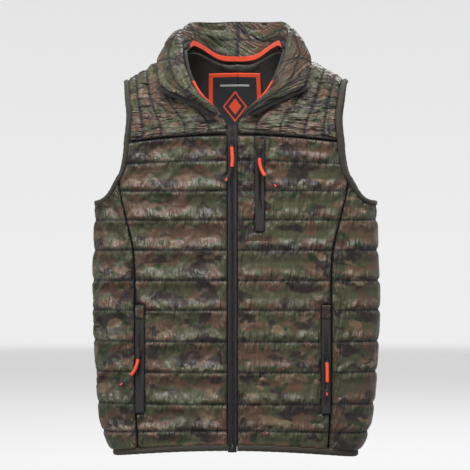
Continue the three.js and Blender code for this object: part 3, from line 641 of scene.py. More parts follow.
def camouflage():
    """Printed nylon: four soft-edged colours in flat blots, a fine weave, crinkles fanning from the stitches, and
    near-black stitch lines, partly thread and partly painted shade.
    """
    shell = Finish("camouflage_nylon", Specular_IOR_Level=0.5, Sheen_Weight=0.04, Sheen_Roughness=0.45)
    cloth = shell.place((1, 1.7, 1), layer="cloth")
    stir = shell.noise(cloth, 34, 3, 0.6, "Color")
    blots = shell.node("ShaderNodeVectorMath", {"operation": "MULTIPLY_ADD"},
                       {0: stir, 1: (0.022, 0.022, 0.022), 2: cloth})

    def blot(shift, scale, low, high):
        moved = shell.node("ShaderNodeVectorMath", {"operation": "ADD"}, {0: blots, 1: shift})
        return shell.step(shell.noise(moved, scale, 2.5, 0.45), low, high)

    tone = shell.noise(cloth, 60, 3) * 0.5
    colour = shell.blend(tone + 0.25, srgb(54, 57, 37), srgb(76, 76, 53))
    colour = shell.blend(blot((3, 7, 0), 17, 0.49, 0.55), colour, srgb(82, 61, 46))
    colour = shell.blend(blot((9, 2, 0), 19, 0.54, 0.59), colour, srgb(42, 33, 28))
    colour = shell.blend(blot((5, 1, 4), 23, 0.61, 0.67), colour, srgb(104, 87, 68))
    colour = shell.blend(blot((1, 8, 3), 30, 0.62, 0.68), colour, srgb(40, 52, 28))
    near = shell.attribute("stitched")
    # The band along each stitch line is drawn near-black: partly the dark thread, partly painted shade in the pinched
    # valley beside it.
    stitch_and_painted_shade = 1.0 - shell.step(near, 1.0, 3.1)
    by_seam = 1.0 - shell.step(near, 1.0, 24.0)
    colour = shell.blend(stitch_and_painted_shade * 0.92, colour, srgb(14, 12, 11))
    fan = shell.place((1, 0.22, 1), layer="crinkle")
    fans = shell.noise(fan, 120, 3, 0.5)
    creased = shell.place(layer="cloth")
    folds = shell.node("ShaderNodeTexNoise", {"noise_type": "RIDGED_MULTIFRACTAL"},
                       {"Vector": creased, "Scale": 26, "Detail": 3, "Roughness": 0.5, "Distortion": 0.6})
    weave = shell.wave(creased, 800, "X") * shell.wave(creased, 800, "Y")
    crinkle = shell.bump(fans * (by_seam * 0.85 + 0.15), 0.017)
    rumple = shell.bump(folds, 0.0032, crinkle)
    worn = shell.noise(creased, 90, 4)
    return shell.feed(Base_Color=colour, Normal=shell.bump(weave, 0.00006, rumple),
                      Roughness=worn * 0.2 + (stitch_and_painted_shade * 0.4 + 0.18))


shell_cloth = camouflage()
ROWS = (44, 96, 153, 208, 264, 317, 371, 425, 477, 531)  # heights of the level stitching
HEM_TOP, STEP = 8.3, 4.2
# Across a front at its design width: the pocket zips and the outer edge.
HAND_X, CHEST_X, DESIGN_EDGE = 167.43, 49, 175.7
pocket_holes = {"left": [(HAND_X, 78.4, 273.6)], "right": [(HAND_X, 78.4, 273.6), (CHEST_X, 403.4, 572.6)]}
hull_edge = 8.7  # half width of the channel that a pocket zip is sewn into


def sew(shape, edges, lines=(), cols=()):
    """Sewing depths: NaN inside, then the four edges (bottom, top, first side, last side) and the stitch lines."""
    sewn = np.full(shape, np.nan)
    for line, depth in lines:
        sewn[line, :] = depth
    for line, depth in cols:
        sewn[:, line] = depth
    sewn[0, :], sewn[-1, :] = edges[0], edges[1]
    sewn[:, 0], sewn[:, -1] = edges[2], edges[3]
    return sewn


def finish_panel(piece, node):
    worn(piece, "camouflage_shell", node)


def slanted(near, crest, across):
    """Slanting stitch lines on a yoke: the distance to the nearest line, and the groove that they press in."""
    slant = np.mod(crest[..., 2] + 0.55 * across, 46) - 23
    return np.minimum(near, np.abs(slant) * 0.9 + 0.7), 2.6 * np.exp(-(slant / 2.6) ** 2)


row_heights = fill(sorted((HEM_TOP, 78.4, 273.6, 403.4, 572, PANEL_TOP) + ROWS), STEP)
design_x = fill((FRONT_EDGE, 16.5, CHEST_X - hull_edge, CHEST_X, CHEST_X + hull_edge, 70, 110, 150, HAND_X - hull_edge,
                 HAND_X, DESIGN_EDGE), STEP)
for number, (hand_name, hand) in enumerate((("left", -1), ("right", 1))):
    edge = panel_edge(row_heights)[:, None]
    q = design_x[None, :]
    stretched = mix(70, edge - SEAM - 25.7, (q - 70) / 80)  # between the two pockets
    x = np.where(q <= 70, q, np.where(q >= 150, edge - SEAM - (DESIGN_EDGE - q), stretched))
    crest, normal = body_skin(-1, hand * x, np.broadcast_to(row_heights[:, None], x.shape))
    sewn = sew(x.shape, (5, 6, 5.2, 5), lines_at(row_heights, ROWS, 5.8))
    near_row = reach_to(ROWS + (YOKE_Z,), row_heights)[:, None]
    near_edge = np.minimum(np.abs(x - FRONT_EDGE) + 2.5, np.abs(edge - x) + 1.2)
    near = np.minimum(near_row, near_edge)
    for px, z0, z1 in pocket_holes[hand_name]:
        height = row_heights[:, None]
        sewn[(np.abs(x - px) <= hull_edge + 1.2) & (height >= z0 - 0.5) & (height <= z1 + 0.5)] = 6.3
        gap = np.maximum(np.abs(x - px) - hull_edge, np.maximum(z0 - height, height - z1))
        near = np.minimum(near, np.clip(gap, 0, None) + 1)
    panel = quilt("front_" + hand_name, crest, normal, sewn, near, False, rise=0.2,
                  shift=0.37 + number, seed=3 + number)
    finish_panel(panel, "front_panel_" + hand_name)

    # Side panel: from the front seam round to the back seam, up to the scooped underarm.
    w = fill((1, 0, -1), 2 / 58)
    levels = fill((HEM_TOP,) + ROWS[:8] + (450,), STEP)
    top, tops = side_top(w)[None, :], fill((0, 1), 1 / 8)[1:]
    z = np.vstack([np.repeat(levels[:, None], len(w), 1), mix(450, top, tops[:, None])])
    t = (seam_angle(z) - SEAM / 70) * w
    crest, normal = skin(side_surface(hand), t, z, 0.01, 0.5)
    sewn = sew(z.shape, (4, 3, 5, 5), lines_at(levels, ROWS[:-2], 3.8))
    away = np.abs(1 - np.abs(w))[None, :] * 110 + 1.2
    near = np.minimum(np.minimum(reach_to(ROWS[:-2], z), away), np.abs(top - z) + 1)
    panel = quilt("side_" + hand_name, crest, normal, sewn, near, False, shift=0.83 + number, seed=7 + number)
    finish_panel(panel, "side_panel_" + hand_name)

    # Front yoke: upright channels, crossed by slanting lines of stitching that climb towards the neck.
    arc = fill((0.15, 3, 87, ARC_TOP), 2.1)
    u = fill((0, 0.19, 0.427, 0.669, 0.862, 1), 1 / 42)
    d = arc[:, None]
    x = mix(fold_edge(d) + SEAM, arm_edge(d) - SEAM, u[None, :])
    crest, normal = high_skin(-1, hand * x, np.broadcast_to(d, x.shape))
    channels = (0.19, 0.427, 0.669, 0.862)
    sewn = sew(x.shape, (6.5, 6, 5.5, 5), (), lines_at(u, channels, 6.3))
    near = np.minimum(reach_to(channels + (0, 1), u)[None, :] * (arm_edge(d) - fold_edge(d)), crest[..., 2] - seam_z(x))
    near, grooves = slanted(near, crest, x)
    panel = quilt("yoke_" + hand_name, crest, normal, sewn, near, True, shift=1.31 + number,
                  seed=11 + number, spare=0.05, grooves=grooves)
    finish_panel(panel, "front_yoke_" + hand_name)

# The back is one panel below one yoke; its channels fan like those of the front.
spread = fill((-1, 0, 1), 1 / 42)
levels = fill((HEM_TOP,) + ROWS + (PANEL_TOP,), STEP)
x = spread[None, :] * (panel_edge(levels)[:, None] - SEAM)
crest, normal = body_skin(1, x, np.broadcast_to(levels[:, None], x.shape))
sewn = sew(x.shape, (5, 6, 5, 5), lines_at(levels, ROWS, 5.8))
near = np.minimum(reach_to(ROWS + (YOKE_Z,), levels)[:, None], np.abs(panel_edge(levels)[:, None] - np.abs(x)) + 1.2)
finish_panel(quilt("back", crest, normal, sewn, near, False, shift=2.9, seed=17), "back_panel")

channels = (-0.87, -0.68, -0.45, -0.227, 0, 0.227, 0.45, 0.68, 0.87)
spread = fill((-1,) + channels + (1,), 1 / 46)
top = np.minimum(neck_arc(spread * arm_edge(90)), ARC_TOP)
v = fill((0, 1), 1 / 40)[:, None]
deg = np.maximum(v * top[None, :], 0.15)
x = spread[None, :] * (arm_edge(deg) - SEAM)
crest, normal = high_skin(1, x, deg)
sewn = sew(x.shape, (6.5, 6, 5, 5), (), lines_at(spread, channels, 6.3))
near = np.minimum(reach_to(channels + (-1, 1), spread)[None, :] * arm_edge(deg), crest[..., 2] - seam_z(x))
near, grooves = slanted(near, crest, np.abs(x))
finish_panel(quilt("back_yoke_quilt", crest, normal, sewn, near, True, shift=4.1, seed=19, spare=0.05,
                   grooves=grooves), "back_yoke")

# ---- collar --------------------------------------------------------------------------------------
# Two quilted layers sewn together round their free edge and along the middle. It stands at the back of the
# neck, rolls over at the shoulders and lies open on the fronts as lapels.


def arc_at(x, z):
    return np.degrees(np.arcsin(np.clip((z - seam_z(x)) / (shoulder_z(x) - seam_z(x)), 0, 1)))


def over_yoke(x, z, lift):
    p, n = high_skin(-1, float(x), min(89.0, float(arc_at(x, z))))
    return p + n * lift


def back_neck(x, dx, dy, dz):
    p, n = high_skin(1, float(x), neck_arc(x))
    n = n * (1, 1, 0) / np.linalg.norm(n[:2])
    return p - 5.9 * n + (dx, dy, dz + 4)


# From the tip of the opening to the middle of the back: seam or fold, crest, and free edge.
stations = [[over_yoke(*a), over_yoke(*m), over_yoke(*b)] for a, m, b in (
    ((17, 609, 6.5), (18, 607.5, 7), (19.5, 606, 6.5)), ((42, 633, 6.5), (47, 631, 9), (54, 627, 6.5)),
    ((60, 649, 6.5), (78, 649, 11), (94, 645, 6.5)), ((69, 664, 6.5), (99, 667, 11), (127, 662, 6.5)),
    ((79, 686, 6.5), (108, 690, 12), (134, 686, 6.5)), ((87, 706, 7), (111, 714, 15), (134, 707, 7)))]
stations += [[(94, -26, 734), (109, -30, 753), (128, -28, 733)], [(93, -2, 743), (104, -3, 764), (121, -6, 745)]]
stations += [[back_neck(x, 0, 0, 0), back_neck(x, *m), back_neck(x, *b)] for x, m, b in (
    (91, (9, 3, 22), (19, 7, 14)), (72, (9, 6, 28), (17, 15, 43)), (38, (3, 6, 33), (6, 14, 65)),
    (0, (0, 5, 36), (0, 12, 70)))]
stations = np.array(stations, float)
ring = np.vstack([stations * (-1, 1, 1), stations[-2::-1]])


def collar_spots(s, v):
    """Points and normals of the collar's middle sheet, at shares round it and shares from seam to free edge."""
    a, m, b = (through_points(ring[:, k], s)[:, None] for k in range(3))
    v = np.asarray(v)[None, :, None]
    return a * (1 - v) * (1 - 2 * v) + 4 * m * v * (1 - v) + b * v * (2 * v - 1)


def collar_skin(s, v):
    s, v = np.asarray(s, float), np.asarray(v, float)
    p = collar_spots(s, v)
    n = np.cross(collar_spots(np.clip(s + 0.004, 0, 1), v) - collar_spots(np.clip(s - 0.004, 0, 1), v),
                 collar_spots(s, np.clip(v + 0.02, 0, 1)) - collar_spots(s, np.clip(v - 0.02, 0, 1)))
    return p, n / np.linalg.norm(n, axis=-1, keepdims=True)


collar_ribs = tuple(np.r_[0.5, [0.5 + k * w for w in (0.10, 0.2, 0.29) for k in (-1, 1)]])
s = fill(tuple(sorted((0, 1) + collar_ribs)), 1 / 150)
v = fill((0, 0.5, 1), 1 / 18)
p, n = collar_skin(s, v)
into_neck = 1 if collar_skin([0.5], [0.5])[1][0, 0, 1] < 0 else -1
for name, sign in (("collar_inner", into_neck), ("collar_outer", -into_neck)):
    sewn = sew(p.shape[:2], (3.5, 3.5, 3.2, 4.6), (), lines_at(v, (0.5,), 3.4))
    for row, depth in lines_at(s, collar_ribs, 3.2):
        sewn[row], sewn[row, -1] = depth, 4.6
    breadth = np.linalg.norm(p[:, -1] - p[:, 0], axis=-1)[:, None] + 6
    near = np.minimum(reach_to((0, 0.5, 1), v)[None, :] * breadth, reach_to(collar_ribs + (0, 1), s)[:, None] * 620)
    layer = quilt(name + "_quilt", p + sign * n * 5.3, sign * n, sewn, near, True, thick=5, rise=0.8,
                  spare=0.045, press=3, shift=5.3 if sign > 0 else 6.7, seed=23)
    finish_panel(layer, name)

# ---- lining and pocket bags ----------------------------------------------------------------------
# Thin dark taffeta behind every panel, caught down by the same stitching, and two-ply bags of the same
# cloth between the padding and the lining, sewn to the welts.
taffeta = Finish("dark_taffeta", Roughness=0.5, Sheen_Weight=0.08)
ripple = taffeta.noise(taffeta.place((1, 1, 0.4)), 55, 4, 0.6)
thread = taffeta.wave(taffeta.place(), 700, "X") * taffeta.wave(taffeta.place(), 700, "Z")
lining_cloth = taffeta.feed(
    Base_Color=taffeta.blend(ripple, srgb(32, 30, 29), srgb(54, 50, 47)), Roughness=ripple * 0.3 + 0.35,
    Normal=taffeta.bump(thread, 0.0001, taffeta.bump(ripple, 0.003)))


LINING_DEPTH, BAG_DEPTH, PLY = 16.1, 14.2, 0.8  # under the shell's full outer surface


def slab(name, outer, inner, finish):
    """A closed sheet between two grids of points, in mm."""
    rows, cols = outer.shape[:2]
    size = rows * cols
    faces = [tuple(f) for f in grid_faces(rows, cols)] + [tuple(f[::-1]) for f in grid_faces(rows, cols, size)]
    rim = [r * cols for r in range(rows)] + [size - cols + c for c in range(1, cols)]
    rim += [r * cols + cols - 1 for r in range(rows - 2, -1, -1)] + [c for c in range(cols - 2, 0, -1)]
    faces += [(a, b, b + size, a + size) for a, b in zip(rim, rim[1:] + rim[:1])]
    made = mesh_object(name, metres(np.vstack([outer.reshape(-1, 3), inner.reshape(-1, 3)])), faces, finish)
    lay_map(made, "cloth", np.tile(cloth_map(outer).reshape(-1, 2), (2, 1)))
    return outward(made)


def hang_lining(name, node, crest, normal, near):
    """Lining cloth under a panel: it bellies a little between the lines of stitching."""
    belly = 1.3 * (1 - np.exp(-near / 9))
    hung = crest - normal * LINING_DEPTH
    made = slab(name, hung, crest - normal * (LINING_DEPTH + PLY + belly)[..., None], lining_cloth)
    worn(made, "lining", node)
    along, down = hung[:, 1:] - hung[:, :-1], hung[1:] - hung[:-1]
    sides = [np.linalg.norm(steps, axis=2).sum(axis).max() * MM for steps, axis in ((along, 1), (down, 0))]


levels = fill((HEM_TOP,) + ROWS + (PANEL_TOP,), 9)
arc = fill((3, ARC_TOP), 5)
for hand_name, hand in (("left", -1), ("right", 1)):
    u = np.linspace(0, 1, 20)[None, :]
    low_part = body_skin(-1, hand * mix(0.6, panel_edge(levels)[:, None] - SEAM, u), levels[:, None] + 0 * u)
    high_part = high_skin(-1, hand * mix(fold_edge(arc)[:, None] + 2, arm_edge(arc)[:, None] - SEAM, u),
                          arc[:, None] + 0 * u)
    crest, normal = (np.concatenate(both) for both in zip(low_part, high_part))
    near = np.minimum(reach_to(ROWS, crest[..., 2]), 20)
    hang_lining("front_lining_cloth_" + hand_name, "front_lining_" + hand_name, crest, normal, near)
    w = np.linspace(1, -1, 32)
    z = np.vstack([np.repeat(levels[levels < 450][:, None], 32, 1),
                   mix(450, side_top(w)[None, :], np.linspace(0, 1, 6)[:, None])])
    crest, normal = skin(side_surface(hand), (seam_angle(z) - SEAM / 70) * w, z, 0.01, 0.5)
    hang_lining("side_lining_cloth_" + hand_name, "side_lining_" + hand_name, crest, normal, reach_to(ROWS[:-2], z))

u = np.linspace(-1, 1, 45)[None, :]
low_part = body_skin(1, u * (panel_edge(levels)[:, None] - SEAM), levels[:, None] + 0 * u)
top = np.minimum(neck_arc(u * arm_edge(90)), ARC_TOP)
deg = np.linspace(0.04, 1, 20)[:, None] * top
high_part = high_skin(1, u * (arm_edge(deg) - SEAM), deg)
crest, normal = (np.concatenate(both) for both in zip(low_part, high_part))
across = np.where(crest[..., 2] > YOKE_Z, reach_to((-165, -130, -86, -43, 0, 43, 86, 130, 165), crest[..., 0]), 20)
near = np.minimum(reach_to(ROWS, crest[..., 2]), across)
hang_lining("back_lining_cloth", "back_lining", crest, normal, near)

for zip_name, sign, low, high in (("left_pocket", -1, 62, 240), ("right_pocket", 1, 62, 240),
                                  ("chest_pocket", 1, 400, 540)):
    z = np.linspace(low, high, 24)[:, None]
    x = mix(FRONT_EDGE, panel_edge(z) - SEAM, np.linspace(1 / 8, 7 / 8, 20)[None, :])
    crest, normal = body_skin(-1, sign * x, z + 0 * x)
    bag = slab(zip_name + "_bag_cloth", crest - normal * BAG_DEPTH, crest - normal * (BAG_DEPTH + PLY), lining_cloth)
    worn(bag, "lining", zip_name + "_bag")
    breadth = float(np.linalg.norm(np.diff(crest[12], axis=0), axis=1).sum()) * MM
    "front_left" if sign < 0 else "front_right"

# ---- bindings ------------------------------------------------------------------------------------
# Folded bias tape wraps the cut edge of shell, filling and lining round each armhole and along the hem. It is
# a dull taupe twill, stitched close to its inner edge and slightly puckered.
twill = Finish("taupe_binding", Roughness=0.8, Sheen_Weight=0.1)
rib = twill.wave(twill.place(), 330, "DIAGONAL", 0.6)
pucker = twill.noise(twill.place(), 110, 3)
binding_cloth = twill.feed(Base_Color=twill.blend(pucker, srgb(36, 33, 27), srgb(54, 49, 40)),
                           Roughness=pucker * 0.2 + 0.65,
                           Normal=twill.bump(rib, 0.0003, twill.bump(pucker, 0.0016)))


def edging(name, points, out, normal, span, depths, closed, finish):
    """A rounded strip that runs along points. It reaches over span outwards and between two depths."""
    count, sides = len(points), 20
    angle = np.linspace(0, 2 * math.pi, sides, endpoint=False)
    c, s = rounded(angle, 0.55)
    e, d = mix(*span, (1 + c) / 2), mix(*depths, (1 + s) / 2)
    wobble = 0.25 * np.sin(np.arange(count) * 2.1)[:, None] * np.cos(angle)
    spots = (points[:, None] + out[:, None] * (e[None, :] + wobble)[..., None]
             - normal[:, None] * np.broadcast_to(d, (count, sides))[..., None])
    faces = tube_faces(count, sides, closed)
    if not closed:
        faces += [tuple(range(sides)), tuple((count - 1) * sides + k for k in range(sides - 1, -1, -1))]
    return outward(mesh_object(name, metres(spots.reshape(-1, 3)), faces, finish))


def eased(rows, closed):
    """Directions averaged with their neighbours', three times over."""
    for _ in range(3):
        before, after = np.roll(rows, 1, 0), np.roll(rows, -1, 0)
        if not closed:
            before[0], after[-1] = rows[0], rows[-1]
        rows = before + 2 * rows + after
        rows /= np.linalg.norm(rows, axis=-1, keepdims=True)
    return rows


for hand_name, hand in (("left", -1), ("right", 1)):
    down, up = np.linspace(90, 2, 36), np.linspace(576, 498, 20)
    w = np.linspace(1, -1, 52)
    scoop = side_top(w)
    parts = [high_skin(-1, hand * arm_edge(down), down), body_skin(-1, hand * panel_edge(up), up),
             skin(side_surface(hand), (seam_angle(scoop) - SEAM / 70) * w, scoop, 0.01, 0.5),
             body_skin(1, hand * panel_edge(up[::-1]), up[::-1]),
             high_skin(1, hand * arm_edge(down[:0:-1]), down[:0:-1])]
    p, n = (np.concatenate(both) for both in zip(*parts))
    n = eased(n, True)
    run = np.roll(p, -1, 0) - np.roll(p, 1, 0)
    out = np.cross(run, n)
    out /= np.linalg.norm(out, axis=-1, keepdims=True)
    middle = np.array([hand * HALF_WIDTH, 0, mix(UNDERARM_Z, shoulder_z(arm_edge(90)), 0.5)])
    out = eased(out * np.where((out * (middle - p)).sum(-1, keepdims=True) < 0, -1, 1), True)
    strip = edging("armhole_tape_" + hand_name, p, out, n, (-1.4, 7.8), (-0.4, 16.5), True, binding_cloth)
    worn(strip, "binding", "armhole_binding_" + hand_name)

low_z = 3.8
front_x = fill((8.9, float(panel_edge(low_z))), 5)
w = np.linspace(1, -1, 40)[1:-1]
angles = seam_angle(low_z) * w
back_x = fill((float(panel_edge(low_z)), -float(panel_edge(low_z))), 5)
parts = [skin(low_surface(-1), front_x, low_z, 0.5, 0.5), skin(side_surface(1), angles, low_z, 0.01, 0.5),
         skin(low_surface(1), back_x, low_z, 0.5, 0.5), skin(side_surface(-1), angles[::-1], low_z, 0.01, 0.5),
         skin(low_surface(-1), -front_x[::-1], low_z, 0.5, 0.5)]
p, n = (np.concatenate(both) for both in zip(*parts))
n = eased(n * (1, 1, 0) / np.linalg.norm(n[:, :2], axis=-1, keepdims=True), False)
hem = edging("hem_tape", p, np.tile([0.0, 0.0, 1.0], (len(p), 1)), n, (-3.6, 8.2), (-0.2, 17.2), False, binding_cloth)
worn(hem, "binding", "hem_binding")

# The neck seam: a folded strip of the lining cloth closes the join between collar, yoke and lining.
s = np.linspace(0.3, 0.7, 60)
p, n = collar_skin(s, [0.0])
n = eased(n[:, 0] * into_neck * (1, 1, 0) / np.linalg.norm(n[:, 0, :2], axis=-1, keepdims=True), False)
neck_seam = edging("neck_seam", p[:, 0], np.tile([0.0, 0.0, 1.0], (60, 1)), n, (-9.0, 3.0), (-4.2, 8.0), False,
                   lining_cloth)
worn(neck_seam, "lining")

# ---- neck tape, hanger loop and label ------------------------------------------------------------
# An orange grosgrain tape covers the neck seam and shows as piping inside both fronts. Below it hangs a loop
# of the lining cloth, and a woven label with an orange border is stitched to the back lining.


def refined(node, name, finish, round_off, levels=1):
    """A finer copy of a modelled node: its rims rounded and its faces smoothed."""
    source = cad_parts[node].data
    shape = bmesh.new()
    shape.from_mesh(source)
    bmesh.ops.remove_doubles(shape, verts=shape.verts, dist=1e-6)
    bmesh.ops.dissolve_limit(shape, angle_limit=0.02, verts=shape.verts, edges=shape.edges)
    mesh = bpy.data.meshes.new(name)
    shape.to_mesh(mesh)
    shape.free()
    mesh.materials.clear()
    mesh.materials.append(finish)
    mesh.polygons.foreach_set("use_smooth", [True] * len(mesh.polygons))
    made = placed(name, mesh)
    rim = made.modifiers.new("rim", "BEVEL")
    rim.width, rim.segments, rim.limit_method, rim.angle_limit = round_off * MM, 2, "ANGLE", math.radians(40)
    if levels:
        soft = made.modifiers.new("soft", "SUBSURF")
        soft.levels = soft.render_levels = levels
    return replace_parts(settled(made), node)


grosgrain = Finish("orange_grosgrain", Roughness=0.62, Sheen_Weight=0.15)
cord_rib = grosgrain.wave(grosgrain.place(), 420, "X")
faded = grosgrain.noise(grosgrain.place(), 90, 3)
spot = grosgrain.axis("Z")
inward = grosgrain.axis("Y")
# The tape is orange where it shows, as piping on the fronts and across the back; elsewhere on the fronts it is painted
# dark (40, 36, 32) as shade.
unshaded_tape = grosgrain.step(spot, -0.072, -0.068) * (1.0 - grosgrain.step(spot, -0.028, -0.024))
unshaded_tape = unshaded_tape.math("MAXIMUM", grosgrain.step(inward, 0.006, 0.008))  # piping on the fronts, and the whole back
orange = grosgrain.blend(grosgrain.step(faded, 0.3, 0.8), srgb(232, 74, 34), srgb(206, 62, 34))
orange_tape = grosgrain.feed(
    Base_Color=grosgrain.blend(unshaded_tape, srgb(40, 36, 32), orange),
    Roughness=faded * 0.2 + 0.5, Normal=grosgrain.bump(cord_rib, 0.0003))
worn(refined("neck_tape", "neck_ribbon", orange_tape, 0.2), "orange_tape")
worn(refined("hanger_loop", "hanger", lining_cloth, 0.25), "lining")


def on_lining(x, z, lift):
    p, n = high_skin(1, x, arc_at(x, z))
    return p - n * lift


LABEL = (-55, 44, 597, 700)  # left, right, bottom, top
x, z = np.meshgrid(np.linspace(LABEL[0], LABEL[1], 56), np.linspace(LABEL[2], LABEL[3], 58))
label_front = on_lining(x, z, 19.6)
woven = Finish("woven_label", Roughness=0.6)
spot = woven.axis("X", "label")
rise = woven.axis("Y", "label")
from_middle = (spot - 0.5).math("ABSOLUTE")
rim_share = woven.step(from_middle, 0.418, 0.424).math("MAXIMUM", woven.step(rise, 0.924, 0.93))
lozenge = from_middle * 1.25 + (rise - 0.38).math("ABSOLUTE")
motif = woven.step(lozenge, 0.245, 0.25) * (1.0 - woven.step(lozenge, 0.285, 0.29))
motif = motif.math("MAXIMUM", 1.0 - woven.step(lozenge, 0.15, 0.155))
bar = (1.0 - woven.step((rise - 0.77).math("ABSOLUTE"), 0.016, 0.02)) * (1.0 - woven.step(from_middle, 0.28, 0.285))
warp = woven.wave(woven.place(), 500, "X") * 0.5 + woven.wave(woven.place(), 500, "Z") * 0.5
ground = woven.blend(warp, srgb(24, 25, 30), srgb(40, 42, 48))
ground = woven.blend(bar, ground, srgb(176, 174, 172))
label_colour = woven.blend(rim_share.math("MAXIMUM", motif), ground, srgb(232, 76, 38))
label_cloth = woven.feed(Base_Color=label_colour, Roughness=warp * 0.2 + 0.5, Normal=woven.bump(warp, 0.0002))
label = slab("label_patch", label_front, on_lining(x, z, 18.8), label_cloth)
places = np.column_stack([(x.ravel() - LABEL[0]) / (LABEL[1] - LABEL[0]),
                          (z.ravel() - LABEL[2]) / (LABEL[3] - LABEL[2])])
lay_map(label, "label", np.tile(places, (2, 1)))
worn(label, "label", "label")

# ---- zips ----------------------------------------------------------------------------------------
# Woven zip tapes with moulded teeth, a pocket zip in a folded welt with a patch of shell cloth above it, and
# gunmetal sliders with lever tabs. The main zip runs on up both lapel edges.
webbing = Finish("zip_webbing", Roughness=0.75)
twine = webbing.wave(webbing.place(), 520, "Z") * 0.5 + webbing.wave(webbing.place(), 420, "X") * 0.5
webbing_cloth = webbing.feed(Base_Color=webbing.blend(twine, srgb(24, 21, 22), srgb(40, 36, 36)),
                             Roughness=twine * 0.2 + 0.6, Normal=webbing.bump(twine, 0.0003))
tooth_stuff = Finish("moulded_tooth", Specular_IOR_Level=0.5)
tooth_speck = tooth_stuff.noise(tooth_stuff.place(), 700, 2)
tooth_cloth = tooth_stuff.feed(Base_Color=tooth_stuff.blend(tooth_speck, srgb(16, 15, 16), srgb(34, 32, 33)),
                               Roughness=tooth_speck * 0.25 + 0.28)
metal = Finish("gunmetal", Metallic=1.0)
tarnish = metal.noise(metal.place(), 320, 4)
gunmetal = metal.feed(Base_Color=metal.blend(tarnish, srgb(44, 43, 43), srgb(84, 82, 80)),
                      Roughness=tarnish * 0.3 + 0.22, Normal=metal.bump(tarnish, 0.00008))
sewing = Finish("sewing_thread", Roughness=0.6)
ply = sewing.wave(sewing.place(), 900, "DIAGONAL")
thread_dark = sewing.feed(Base_Color=sewing.blend(ply, srgb(30, 27, 24), srgb(62, 56, 48)))


def studding():
    """Geometry nodes that set one rounded bead, of a given size, on every point, turned to its two directions."""
    tree = bpy.data.node_groups.new("studding", "GeometryNodeTree")
    face = tree.interface
    face.new_socket("Points", in_out="INPUT", socket_type="NodeSocketGeometry")
    size = face.new_socket("Size", in_out="INPUT", socket_type="NodeSocketVector")
    finish = face.new_socket("Finish", in_out="INPUT", socket_type="NodeSocketMaterial")
    face.new_socket("Studs", in_out="OUTPUT", socket_type="NodeSocketGeometry")
    add, join = tree.nodes.new, tree.links.new
    given, result = add("NodeGroupInput"), add("NodeGroupOutput")
    bead = add("GeometryNodeMeshUVSphere")
    bead.inputs["Segments"].default_value, bead.inputs["Rings"].default_value = 8, 5
    bead.inputs["Radius"].default_value = 0.5
    place = add("GeometryNodeInstanceOnPoints")
    turns = []
    for name, axis in (("way", "X"), ("out", "Z")):
        read = add("GeometryNodeInputNamedAttribute")
        read.data_type = "FLOAT_VECTOR"
        read.inputs["Name"].default_value = name
        turn = add("FunctionNodeAlignRotationToVector")
        turn.axis = axis
        join(read.outputs["Attribute"], turn.inputs["Vector"])
        turns.append(turn)
    turns[1].pivot_axis = "X"
    join(turns[0].outputs["Rotation"], turns[1].inputs["Rotation"])
    solid, paint = add("GeometryNodeRealizeInstances"), add("GeometryNodeSetMaterial")
    smooth = add("GeometryNodeSetShadeSmooth")
    for source, socket, target, into in (
            (given, "Points", place, "Points"), (bead, "Mesh", place, "Instance"),
            (turns[1], "Rotation", place, "Rotation"), (given, "Size", place, "Scale"),
            (place, "Instances", solid, "Geometry"), (solid, "Geometry", smooth, "Geometry"),
            (smooth, "Geometry", paint, "Geometry"), (given, "Finish", paint, "Material"),
            (paint, "Geometry", result, "Studs")):
        join(source.outputs[socket], target.inputs[into])
    return tree, size.identifier, finish.identifier


stud_tree, size_key, finish_key = studding()


def studs(name, spots, way, out, size, finish):
    """One bead of a size in mm at each spot in metres, its length along way and its height along out."""
    mesh = bpy.data.meshes.new(name)
    mesh.from_pydata([tuple(p) for p in spots], [], [])
    for key, rows in (("way", way), ("out", out)):
        data = np.broadcast_to(np.asarray(rows, np.float32), (len(spots), 3))
        mesh.attributes.new(key, "FLOAT_VECTOR", "POINT").data.foreach_set("vector", np.ascontiguousarray(data).ravel())
    made = placed(name, mesh)
    nodes = made.modifiers.new("studs", "NODES")
    nodes.node_group = stud_tree
    nodes[size_key] = [k * MM for k in size]
    nodes[finish_key] = finish
    return settled(made)


def zip_axes(name):
    o, across, out = on_zip(name, [(0, 0, 0), (1, 0, 0), (0, 1, 0)])
    return (across - o) / MM, (out - o) / MM


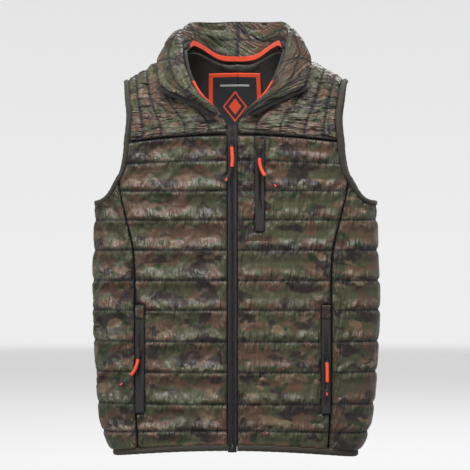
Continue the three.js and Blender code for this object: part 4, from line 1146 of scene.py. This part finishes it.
PITCH = 2.6
chains = {"main": (22, 584, 3.0, 3.6, None), "left_pocket": (84, 246, 2.0, 3.4, 189),
          "right_pocket": (84, 246, 2.0, 3.4, 183), "chest_pocket": (409, 547, 2.0, 3.4, None)}
for zip_name, (low, high, reach, deep, parted) in chains.items():
    across, out = zip_axes(zip_name)
    z = np.arange(low, high, PITCH)
    for side, half in (("left", -1), ("right", 1)):
        apart = 0 if parted is None else 0.5 * np.clip((z - parted - 4) / 10, 0, 1)
        spots = on_zip(zip_name, np.column_stack([half * (reach / 2 + apart + 0 * z), -deep + 0 * z,
                                                  z + (PITCH / 2 if half > 0 else 0)]))
        row = studs(f"{zip_name}_teeth_{side}", spots, across, out, (reach * 1.02, 1.9, 2.0), tooth_cloth)
        main_row = zip_name == "main" and "main_zip_teeth_" + side
        worn(row, "zip_teeth", main_row or (zip_name + "_zip_teeth" if half > 0 else None))
    for node in (["main_zip_tape_left", "main_zip_tape_right", "main_zip_box"] if zip_name == "main"
                 else [zip_name + "_zip_tape"]):
        worn(refined(node, node + "_cloth", tooth_cloth if "box" in node else webbing_cloth, 0.2, 0), "zip_tape")
    for part, body in (("slider", "_slider"), ("pull_tab", "_tab")):
        worn(refined(f"{zip_name}_{part}", f"{zip_name}_{part}_metal", gunmetal, 0.22), "slider_metal",
             body=zip_name + body)
    if zip_name == "main":
        continue
    worn(refined(zip_name + "_welt", zip_name + "_welt_cloth", webbing_cloth, 0.5), "welt")
    patch = pebble(zip_name + "_patch", [(7.6 * a, high + 15 + 11.6 * b) for a, b in zip(*rounded(angle, 0.25))],
                   -2.2, -0.6, 0.9, shell_cloth,
                   lambda spots, name=zip_name: on_zip(name, spots * (1, -1, 1) - (0, 2.8, 0)))
    spots = np.array([p.co for p in patch.data.vertices])
    for layer in ("cloth", "crinkle"):
        lay_map(patch, layer, spots[:, [0, 2]] + (2.2, 0.4))
    mark_stitches(patch, np.full(len(spots), 12))
    worn(patch, "camouflage_shell")
    # Stitching runs down both lips of the welt.
    z = np.arange(low - 1, high + 24, 3.2)
    lines = [np.column_stack([np.full(len(z), e), np.full(len(z), -1.98), z]) for e in (-6.9, 6.9)]
    spots = on_zip(zip_name, np.vstack(lines))
    seam = studs(zip_name + "_stitches", spots, (0, 0, 1), out, (2.3, 0.5, 0.4), thread_dark)
    worn(seam, "welt")

for hand_name, hand in (("left", -1), ("right", 1)):
    worn(refined("lapel_zip_" + hand_name, "lapel_zip_cloth_" + hand_name, webbing_cloth, 0.3), "zip_tape")
    s = np.arange(0.014, 3 / 22 - 0.002, 0.0026)
    rim, back, ahead = (collar_spots(at, [v])[:, 0] for at, v in ((s, 1.0), (s, 0.9), (s + 0.004, 1.0)))
    out = (rim - back) / np.linalg.norm(rim - back, axis=-1, keepdims=True)
    way = (ahead - rim) / np.linalg.norm(ahead - rim, axis=-1, keepdims=True)
    up = np.cross(out, way)
    edge_at = 9.2 * np.minimum(1, 0.3 + s * 22)[:, None]
    spots = metres((rim + out * edge_at) * (-hand, 1, 1))
    worn(studs("lapel_teeth_" + hand_name, spots, out * (-hand, 1, 1), up * (-hand, 1, 1), (3.0, 1.9, 2.0),
               tooth_cloth), "zip_teeth")
